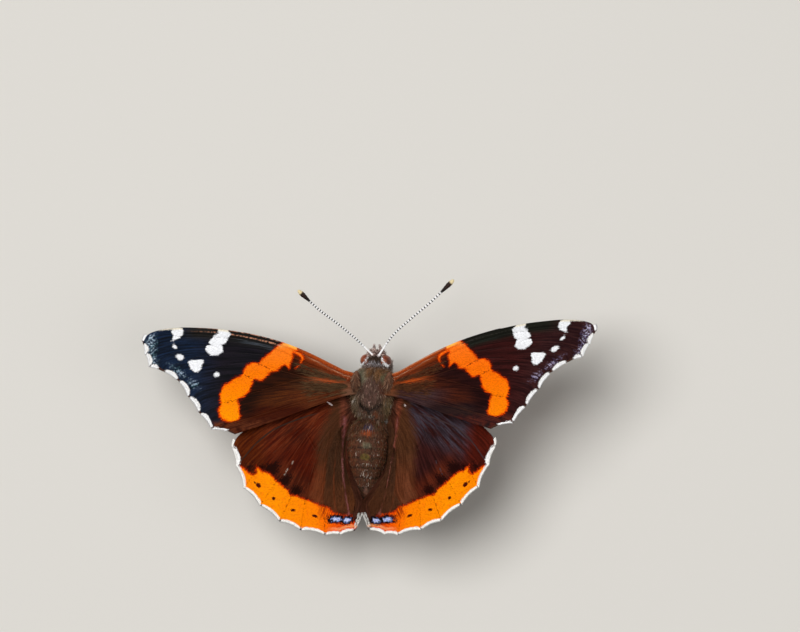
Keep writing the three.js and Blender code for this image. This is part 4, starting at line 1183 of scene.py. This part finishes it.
# Each hair takes a hue by its own number: golden, rusty, pale or whitish.
golden = tuft.step(0.08, 0.1) * tuft.step(0.24, 0.22)
rusty = tuft.step(0.26, 0.28) * tuft.step(0.38, 0.36)
pale = tuft.step(0.5, 0.6)
whitish = tuft.step(0.9, 0.92) * y.step(-3.4, -4.2, 0.6, 0.2)
ring = ((ABDOMEN_FRONT - y) / SEGMENT).maths("FRACT")
rear = y.step(-3.4, -4)
shield = abs(aside * -0.75 + y + 2.72).step(0.38, 0.14) * aside.step(1.8, 1.4) * z.step(0.5, 1.2)
colour = lay(
    "#5e463a",
    (aside.step(1.3, 2.4), "#71583e"),
    (rear, lay("#4e2e1e", (aside.step(0.8, 2.2), "#582e1a"))),
    (rear * ring.step(0.7, 0.92, 0, 0.7), "#2a180f"),
    (golden * 0.55, "#75683c"),
    (rusty * 0.6, "#93462a"),
    (whitish, "#b49c88"),
    *[(patch(*oval) * strength, shade) for *oval, strength, shade in BODY_PATCHES],
    (shield * 0.95, "#150c09"),
    (z.step(0.2, -1), "#7a6a58"),
    (y.step(3.15, 3.4), lay("#4c4448", (pale, "#c4c0c6"))),
    (y.step(4, 4.3), "#4a3830"),
    (y.step(4.55, 4.8), lay("#6a4c44", (pale, "#dcc4bc"))),
    # painted glints on the pale hairs of the specks
    *[(patch(*oval) * pale * 0.9, "#cdc2b6") for oval in GLINT_SPECKS],
)
dim = tuft.step(0, 1, 0.6, 1.4) * place.noise(3.4, 3, 0.7).step(0.3, 0.7, 0.5, 1.5)
feed(out["Color"], colour.dimmed(dim))


def paint_body(name, rough, specular):
    paint = Paint(name, rough, specular)
    place = paint.kept("place")
    colour, = use_group(paint.tree, body_tones, place, paint.kept("tuft"))
    colour = lay(colour, (paint.kept("along").step(0.3, 1, 0, 0.16), "#a88a66"))
    return paint.finish(colour, place.stretched(9, 3, 9).noise(1, 5, 0.7), strength=0.6, depth=0.00008)


dress(skin, paint_body("body_skin", 0.7, 0.15), "coat", "head", "thorax", "abdomen")

# Coat: hairs and long scales grow out of the shell and lie backwards, longest on the thorax and
# short and close on the abdomen.
WIDEST = 2.9


def by(axis, stops, values):
    """Values that change along one axis of the body, or with the distance to either side of it."""
    def at(roots):
        return np.interp(np.abs(roots[:, 0]) if axis == "x" else roots[:, "xyz".index(axis)], stops, values)

    return at


def scatter(rng, count, weight, low, high):
    """Shares and angles spread evenly over a stretch of the body, thinned by a weight."""
    shares, angles = rng.uniform(low, high, count * 6), rng.uniform(-math.pi, math.pi, count * 6)
    half = at_share(body_line, shares)[:, 1]
    kept = rng.uniform(0, 1, count * 6) < half / WIDEST * weight(body_place(shares, angles))
    return shares[kept][:count], angles[kept][:count]


def body_coat(name, count, span, weight, length, width, stand, seed):
    rng = np.random.default_rng(seed)
    reach = np.linspace(0, 1, 2000)
    low, high = np.interp(span, at_share(body_line, reach)[:, 0], reach)
    shares, angles = scatter(rng, count, weight, low, high)
    roots, normals = body_place(shares, angles), body_normal(shares, angles)
    count = len(roots)
    backwards = np.tile([0.0, -1.0, 0.0], (count, 1))
    backwards -= (backwards * normals).sum(1)[:, None] * normals
    ways = unit(backwards) + normals * stand(roots)[:, None] + rng.normal(0, 0.2, (count, 3))
    lengths = length(roots) * rng.uniform(0.6, 1.25, count)
    widths = width * rng.uniform(0.7, 1.3, count)
    bends = normals * rng.uniform(-0.35, 0.05, (count, 1)) + rng.normal(0, 0.12, (count, 3))
    unwrap = np.column_stack([angles / math.tau + 0.5, (shares - low) / (high - low)])
    made = tufts(name, roots - normals * 0.06, ways, lengths, widths, bends, unwrap,
                 {"place": roots, "tuft": rng.uniform(0, 1, count)}, seed=seed)
    dress(made, coat_paint, "coat")


coat_paint = paint_body("coat", 0.5, 0.2)
upper = by("z", [-1.5, 0.5], [0.35, 1])
body_coat("thorax_coat", 12000, span=(-3.9, 3.4), weight=upper, width=0.08, seed=21,
          length=by("x", [0.8, 2.2], [0.6, 1.2]), stand=by("x", [0.8, 2.4], [0.25, 0.6]))
body_coat("abdomen_coat", 10000, span=(-14.3, -3.6), weight=upper, width=0.085, seed=22,
          length=by("y", [-14, -13, -7, -4], [0.7, 0.4, 0.45, 0.9]), stand=by("y", [0], [0.16]))
body_coat("head_coat", 6500, span=(3.2, 5.5), weight=by("z", [-1, 0.5], [1.1, 2.2]), width=0.07, seed=23,
          length=by("y", [3.3, 4, 4.4, 5.4], [0.7, 0.7, 0.45, 0.6]),
          stand=by("y", [3.3, 4.2, 5.4], [1.2, 0.8, 2.6]))

# Eyes: round and brown, each made of thousands of tiny facets, set in the sides of the head with
# a rim of white scales along their upper rear edge.
EYE = {"x": 1.3, "y": 4.15, "z": 0.05, "across": 0.8, "along": 0.85, "high": 1.1}
EYE_RIM = [(0.95, 4.5, 1.0), (1.1, 4.1, 1.02), (1.4, 3.75, 0.9), (1.75, 3.5, 0.6)]
RIM_SCALES = {"left": 110, "right": 300}


def mirrored(stops, sign):
    return [(stop[0] * sign, *stop[1:]) for stop in stops]


eye_paint = Paint("eye", rough=0.35)
feed(eye_paint.shader["Coat Weight"], 0.15)
facets = node(eye_paint.tree, "TexVoronoi", eye_paint.in_object(), None, 17000)
mottle = eye_paint.in_object().noise(1200, 3)
colour = mottle.ramp((0.3, "#3c1609"), (0.55, "#7e3616"), (0.75, "#a0552a"))
eye_paint = eye_paint.finish(colour, facets, strength=0.4, depth=0.00002)

for side, sign in (("left", -1), ("right", 1)):
    eye, _ = ball(f"eye_ball_{side}", 64, 40)
    size = Matrix.Diagonal((EYE["across"] * MM, EYE["along"] * MM, EYE["high"] * MM, 1))
    centre = BODY + Vector((sign * EYE["x"], EYE["y"], EYE["z"])) * MM
    eye.data.transform(Matrix.Translation(centre) @ size)
    dress(eye, eye_paint, "eye", f"eye_{side}")

    rng = np.random.default_rng(31)
    count = RIM_SCALES[side]
    along = rng.uniform(0, 1, count)
    roots = at_share(through(mirrored(EYE_RIM, sign), 0.05), along) + rng.normal(0, 0.07, (count, 3))
    ways = np.tile([sign * 0.6, -0.75, 0.3], (count, 1)) + rng.normal(0, 0.3, (count, 3))
    brows = tufts(f"eye_scales_{side}", roots, ways, rng.uniform(0.15, 0.4, count),
                  rng.uniform(0.05, 0.09, count), np.tile([0, -0.1, -0.25], (count, 1)),
                  np.column_stack([along, rng.uniform(0, 1, count)]),
                  {"tuft": rng.uniform(0, 1, count), "white": np.full(count, 0.6)}, rings=2, seed=31)
    dress(brows, white_hairs, "coat")

# Feelers: thin black shafts of some thirty joints, each ringed with white scales at its base,
# ending in a flat-tipped club with a cream tip, and set in sockets between the eyes.
ANTENNAE = {
    "left": [(-0.17, 4.7, 0.9), (-2.42, 6.68, 2.53), (-4.82, 8.45, 4.2), (-6.79, 9.77, 5.54),
             (-9.5, 12.05, 7.6)],
    "right": [(0.4, 4.6, 0.9), (2.54, 7.32, 2.33), (5.25, 9.72, 3.26), (7.47, 11.59, 3.75),
              (10.6, 14.75, 4.2)],
}
JOINTS = 34
SHAFT = 0.15
CLUB = 0.33
CLUB_START, CLUB_FULL, CLUB_TIP = 0.84, 0.93, 0.96


def limb(name, line, radii, sides=16):
    """A closed round limb along a line of points, with its share along it kept."""
    line = np.asarray(line, float)
    ways = unit(np.gradient(line, axis=0))
    across = unit(np.cross(ways, [0.13, 0.21, 0.97]))
    other = np.cross(ways, across)
    angles = np.linspace(0, math.tau, sides, endpoint=False)[None, :, None]
    rings = line[:, None] + np.asarray(radii)[:, None, None] * (
        across[:, None] * np.cos(angles) + other[:, None] * np.sin(angles))
    places = np.vstack([rings.reshape(-1, 3), line[:1], line[-1:]])
    ends = len(line) * sides
    last = ends - sides
    turn = [(i, (i + 1) % sides) for i in range(sides)]
    faces = [(low + a, low + b, low + sides + b, low + sides + a)
             for low in range(0, last, sides) for a, b in turn]
    faces += [(ends, b, a) for a, b in turn] + [(ends + 1, last + a, last + b) for a, b in turn]
    mesh = bpy.data.meshes.new(name)
    mesh.from_pydata((places * MM + np.array(BODY)).tolist(), [], faces)
    reach = np.append(0, np.cumsum(np.linalg.norm(np.diff(line, axis=0), axis=1)))
    store(mesh, "share", np.append(np.repeat(reach / reach[-1], sides), [0, 1]))
    store(mesh, "place", places)
    mesh.shade_smooth()
    made = bpy.data.objects.new(name, mesh)
    bpy.context.collection.objects.link(made)
    return made


paint = Paint("feeler", rough=0.6, specular=0.2)
share = paint.kept("share")
joint = (share * JOINTS).maths("FRACT")
rings = joint.step(0.66, 0.58).maths("MAXIMUM", share.step(0.2, 0.1))
rings = rings * share.step(CLUB_START + 0.02, CLUB_START - 0.02)
feeler_paint = paint.finish(lay(
    "#161211",
    (rings, "#ffffff"),
    (share.step(CLUB_START, CLUB_FULL, 0, 0.5), "#3a2218"),
    (share.step(CLUB_TIP - 0.01, CLUB_TIP + 0.01), "#e8d6a8"),
))

for side, stops in ANTENNAE.items():
    share = np.linspace(0, 1, JOINTS * 12 + 1)
    stations = [0, 0.02, 0.04, CLUB_START, CLUB_FULL, CLUB_TIP, 0.99, 1]
    thick = [SHAFT * 1.3, SHAFT * 1.3, SHAFT * 0.85, SHAFT, CLUB, CLUB * 0.95, CLUB * 0.6, CLUB * 0.1]
    radii = np.interp(share, stations, thick)
    waist = 1 - 0.14 * np.abs(2 * np.mod(share * JOINTS, 1) - 1) ** 8
    feeler = limb(f"feeler_{side}", at_share(through(stops, 0.04), share), radii * waist)
    dress(feeler, feeler_paint, "antenna", f"antenna_{side}")

# Palps: two short upturned feelers of three joints beside the mouth, shaggy with pale hairs.
PALP = [
    (0.5, 4.7, -0.85, 0.22), (0.5, 5.35, -0.88, 0.22), (0.46, 5.75, -0.5, 0.18), (0.4, 6.05, -0.1, 0.12),
    (0.36, 6.25, 0.2, 0.05),
]
FLOOR_NEAR = -7.4         # the height below which hairs stand upwards only

paint = Paint("palp_hair", rough=0.6, specular=0.2)
palp_paint = paint.finish(lay("#7c6058", (paint.kept("tuft"), "#f0e2dc")))


def hairs_on(name, line, radii, count, length, width, lean, seed):
    """Hairs standing out of a round limb and leaning along it."""
    rng = np.random.default_rng(seed)
    share = rng.uniform(0.02, 0.98, count)
    centre = at_share(line, share)
    ways = unit(at_share(line, np.minimum(share + 0.01, 1)) - at_share(line, np.maximum(share - 0.01, 0)))
    out = rng.normal(0, 1, (count, 3))
    out = unit(out - (out * ways).sum(1)[:, None] * ways)
    low = centre[:, 2] < FLOOR_NEAR
    out[low, 2] = np.abs(out[low, 2])
    radius = np.interp(share, np.linspace(0, 1, len(radii)), radii)
    return tufts(name, centre + out * (radius * 0.85)[:, None], out + ways * lean,
                 length * rng.uniform(0.6, 1.2, count), width * rng.uniform(0.7, 1.3, count),
                 ways * 0.2 + rng.normal(0, 0.1, (count, 3)),
                 np.column_stack([share, rng.uniform(0, 1, count)]),
                 {"tuft": rng.uniform(0, 1, count), "place": centre}, rings=2, seed=seed)


for side, sign in (("left", -1), ("right", 1)):
    line = through(mirrored(PALP, sign), 0.04)
    path, radii = line[:, :3], line[:, 3]
    palp = limb(f"palp_joints_{side}", path, radii)
    store(palp.data, "tuft", np.full(len(palp.data.vertices), 0.3))
    dress(palp, palp_paint, "coat", f"palp_{side}")
    hairs = hairs_on(f"palp_hair_{side}", path, radii, 1300, length=0.2, width=0.04, lean=2.6, seed=41)
    dress(hairs, palp_paint, "coat")

# Tongue: a long sucking tube of two joined halves, rolled up like a spring under the head.
COIL = {"y": 4.3, "z": -2.3, "start": 0.85, "end": 0.07, "from": 70, "turns": 1.35, "tube": 0.19,
        "tip": 0.1}
TONGUE_RINGS = 70

turn = np.linspace(0, 1, 220)
reach = COIL["start"] + (COIL["end"] - COIL["start"]) * turn
angle = np.radians(COIL["from"]) - turn * COIL["turns"] * math.tau
line = np.column_stack([0 * turn, COIL["y"] + reach * np.cos(angle), COIL["z"] + reach * np.sin(angle)])
radii = COIL["tube"] + (COIL["tip"] - COIL["tube"]) * turn
radii = radii * (1 - 0.07 * np.abs(np.sin(turn * TONGUE_RINGS * math.pi)) ** 6)
paint = Paint("tongue", rough=0.4)
joint = (paint.kept("share") * TONGUE_RINGS).maths("FRACT")
tongue_paint = paint.finish(lay("#4a2f1e", (joint.step(0.7, 0.9), "#2a1a12")))
dress(limb("tongue", line, radii), tongue_paint, "cuticle", "proboscis")

# Shoulder caps: small rounded plates that cover each forewing's root, shaggy with long hairs.
TEGULA = {"y": 1.35, "z": 2.4, "across": 0.45, "along": 1.1, "high": 0.34, "slant": 0.4}
TEGULA_OUT = {"left": 2.0, "right": 2.45}

paint = Paint("shoulder_hair", rough=0.55, specular=0.2)
cap_paint = paint.finish(
    paint.kept("tuft").ramp((0, "#38241a"), (0.4, "#6a4634"), (0.75, "#8c6044"), (1, "#c09c80"))
)

for side, sign in (("left", -1), ("right", 1)):
    cap, round_ball = ball(f"shoulder_cap_{side}", 48, 32)
    place = Matrix.Translation((sign * TEGULA_OUT[side], TEGULA["y"], TEGULA["z"]))
    place = place @ Matrix.Rotation(sign * TEGULA["slant"], 4, "Y")
    place @= Matrix.Diagonal((TEGULA["across"], TEGULA["along"], TEGULA["high"], 1))
    place_points(cap.data, moved(round_ball, place))
    store(cap.data, "tuft", np.full(len(round_ball), 0.4))
    dress(cap, cap_paint, "coat", f"tegula_{side}")

    rng = np.random.default_rng(51)
    count = 1500
    out = unit(rng.normal(0, 1, (count, 3)) + [0, 0, 0.6])
    roots = moved(out, place)
    ways = out * 0.2 + [0, -0.9, 0] + rng.normal(0, 0.14, (count, 3))
    fur = tufts(f"shoulder_hair_{side}", roots - out * 0.04, ways, rng.uniform(0.4, 1.3, count),
                rng.uniform(0.05, 0.09, count), rng.normal(0, 0.12, (count, 3)) - [0, 0, 0.2],
                out[:, :2] / 2 + 0.5, {"tuft": rng.uniform(0, 1, count)}, seed=51)
    dress(fur, cap_paint, "coat")

# Legs: four long walking legs of thigh, shin and jointed foot with two claws, and two short
# brush-like forelegs folded against the breast. All are cuticle tubes clad in short scales.
FORELEG = [
    (0.95, 2.3, -1.5, 0.36), (1.15, 2.6, -2.4, 0.34), (1.2, 3.5, -2.75, 0.28), (1.2, 4.35, -2.85, 0.24),
    (1.15, 4.5, -3.15, 0.22), (1.15, 3.9, -3.4, 0.22), (1.1, 2.9, -3.45, 0.2), (1.1, 2.4, -3.4, 0.1),
]
MIDLEG = [
    (1.1, 0.5, -1.9, 0.5), (1.5, 0.6, -3.1, 0.4), (1.95, 0.8, -3.45, 0.3), (3.9, 1.5, -3.15, 0.35),
    (5.9, 2.2, -2.85, 0.24), (6.35, 2.4, -3.15, 0.22), (7.1, 2.9, -5.3, 0.21), (7.8, 3.4, -7.3, 0.17),
    (8.05, 3.6, -7.76, 0.17), (8.9, 4, -7.84, 0.16), (10.1, 4.45, -7.85, 0.15), (10.55, 4.6, -7.87, 0.12),
]
HINDLEG = [
    (1, -1.5, -1.8, 0.5), (1.4, -1.9, -3, 0.4), (1.75, -2.2, -3.35, 0.3), (3.2, -3.9, -3.15, 0.35),
    (4.8, -5.8, -2.9, 0.24), (5.1, -6.2, -3.2, 0.22), (5.9, -7.9, -5.3, 0.21), (6.7, -9.6, -7.3, 0.17),
    (6.9, -10, -7.76, 0.17), (7.3, -10.9, -7.84, 0.16), (7.9, -12.3, -7.85, 0.15), (8.1, -12.8, -7.87, 0.12),
]
FOOT_JOINTS = 5
CLAW = 0.5
FOOT_START = 0.72         # share along the leg

paint = Paint("leg_scales", rough=0.65, specular=0.25)
speckle = paint.kept("place").noise(7, 3, 0.6)
colour = lay(
    speckle.ramp((0.35, "#4a3a2c"), (0.5, "#77624a"), (0.68, "#a8947a")),
    (paint.kept("share").step(0.62, 0.72), "#8a7256"),
)
leg_paint = paint.finish(colour, speckle)


def add_claws(leg, path):
    for spread in (-0.5, 0.5):
        toward = unit(path[-1] - path[-6])
        across = np.array([-toward[1], toward[0], 0]) * spread
        bend = np.linspace(0, 1, 9)[:, None]
        line = path[-2] + (toward + across) * CLAW * bend + np.array([0, 0, 0.07]) * np.sin(bend * math.pi)
        claw = limb("claw", line, np.linspace(0.09, 0.015, 9), sides=8)
        bpy.ops.object.select_all(action="DESELECT")
        claw.select_set(True)
        leg.select_set(True)
        bpy.context.view_layer.objects.active = leg
        bpy.ops.object.join()


for side, sign in (("left", -1), ("right", 1)):
    for leg_name, stops, count, length, hair_paint in (
        ("foreleg", FORELEG, 2600, 0.5, palp_paint), ("midleg", MIDLEG, 1500, 0.2, leg_paint),
        ("hindleg", HINDLEG, 1500, 0.2, leg_paint),
    ):
        line = through(mirrored(stops, sign), 0.06)
        path, radii = line[:, :3], line[:, 3].copy()
        if leg_name != "foreleg":
            foot = np.clip((np.linspace(0, 1, len(line)) - FOOT_START) / (1 - FOOT_START), 0, 1)
            radii *= 1 - 0.22 * np.abs(2 * np.mod(foot * FOOT_JOINTS, 1) - 1) ** 6 * (foot > 0)
        leg = limb(f"{leg_name}_skin_{side}", path, radii)
        if leg_name != "foreleg":
            add_claws(leg, path)
        dress(leg, leg_paint, "cuticle", f"{leg_name}_{side}")
        hairs = hairs_on(f"{leg_name}_hair_{side}", path[: int(len(path) * 0.97)], radii, count, length,
                         width=0.05, lean=1.2, seed=61)
        dress(hairs, hair_paint, "cuticle")

# Wing hair: long soft hairs lie over the roots of the forewings and the inner third of the
# hindwings, flowing outwards along the veins.
HAIR_TONES = {"left": ("#402614", "#623c24", "#7a4222"), "right": ("#402414", "#603a24", "#6a3c22")}
ROOT_TONES = {"left": ("#3a2414", "#6c5034"), "right": ("#3c2014", "#744628")}
CORNER_TONES = ("#2c1c14", "#fffdf6")


def wing_hair(name, wing, count, area, length, tones, seed, clear=None, thin=1):
    """Hairs over a stretch of a wing, thinned out towards its end, none of them reaching over a
    marking that stays clear."""
    name = f"{name}_{wing.side}"
    rng = np.random.default_rng(seed)
    s = area[0] + (area[1] - area[0]) * rng.uniform(0, 1, count) ** thin
    t = rng.uniform(area[2], area[3], count)
    lengths = length * rng.uniform(0.5, 1.2, count)
    if clear:
        room = mark(wing.place(s, t), clear, smooth=False) - 0.1
        kept = room > 0.25
        s, t, lengths = s[kept], t[kept], np.minimum(lengths, room)[kept]
        count = len(s)
    flat = wing.place(s, t)
    here, outward, up = wing.frame(flat, wing.outwards(s, t))
    ways = outward + up * rng.uniform(0.02, 0.14, (count, 1)) + rng.normal(0, 0.07, (count, 3))
    bends = up * -0.08 + rng.normal(0, 0.05, (count, 3))
    made = tufts(name, here + up * 0.02, ways, lengths, rng.uniform(0.04, 0.07, count), bends,
                 np.column_stack([s, t]), {"tuft": rng.uniform(0, 1, count), "ahead": flat[:, 1]},
                 seed=seed)
    paint = Paint(name, rough=0.6, specular=0.12)
    ahead = paint.kept("ahead").step(-8, -13, 0, 0.6)
    colour = lay(tones[0], (paint.kept("tuft"), tones[1]), (ahead, tones[-1]))
    dress(made, paint.finish(colour), "coat")


for side in ("left", "right"):
    wing_hair("hindwing_hair", hind[side], 7500, area=(0.05, 0.84, 0.72, 0.935), length=1.7,
              tones=HAIR_TONES[side], seed=71, clear=HIND_BAND)
    wing_hair("tail_hair", hind[side], 85, area=(0.83, 0.965, 0.974, 0.999), length=0.6,
              tones=CORNER_TONES, seed=73)
    wing_hair("forewing_hair", fore[side], 1700, area=(0.02, 0.3, 0.3, 0.9), length=1.3,
              tones=ROOT_TONES[side], seed=72, thin=2)

[[list(corner) for corner in box] for box in (solid_box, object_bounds())]
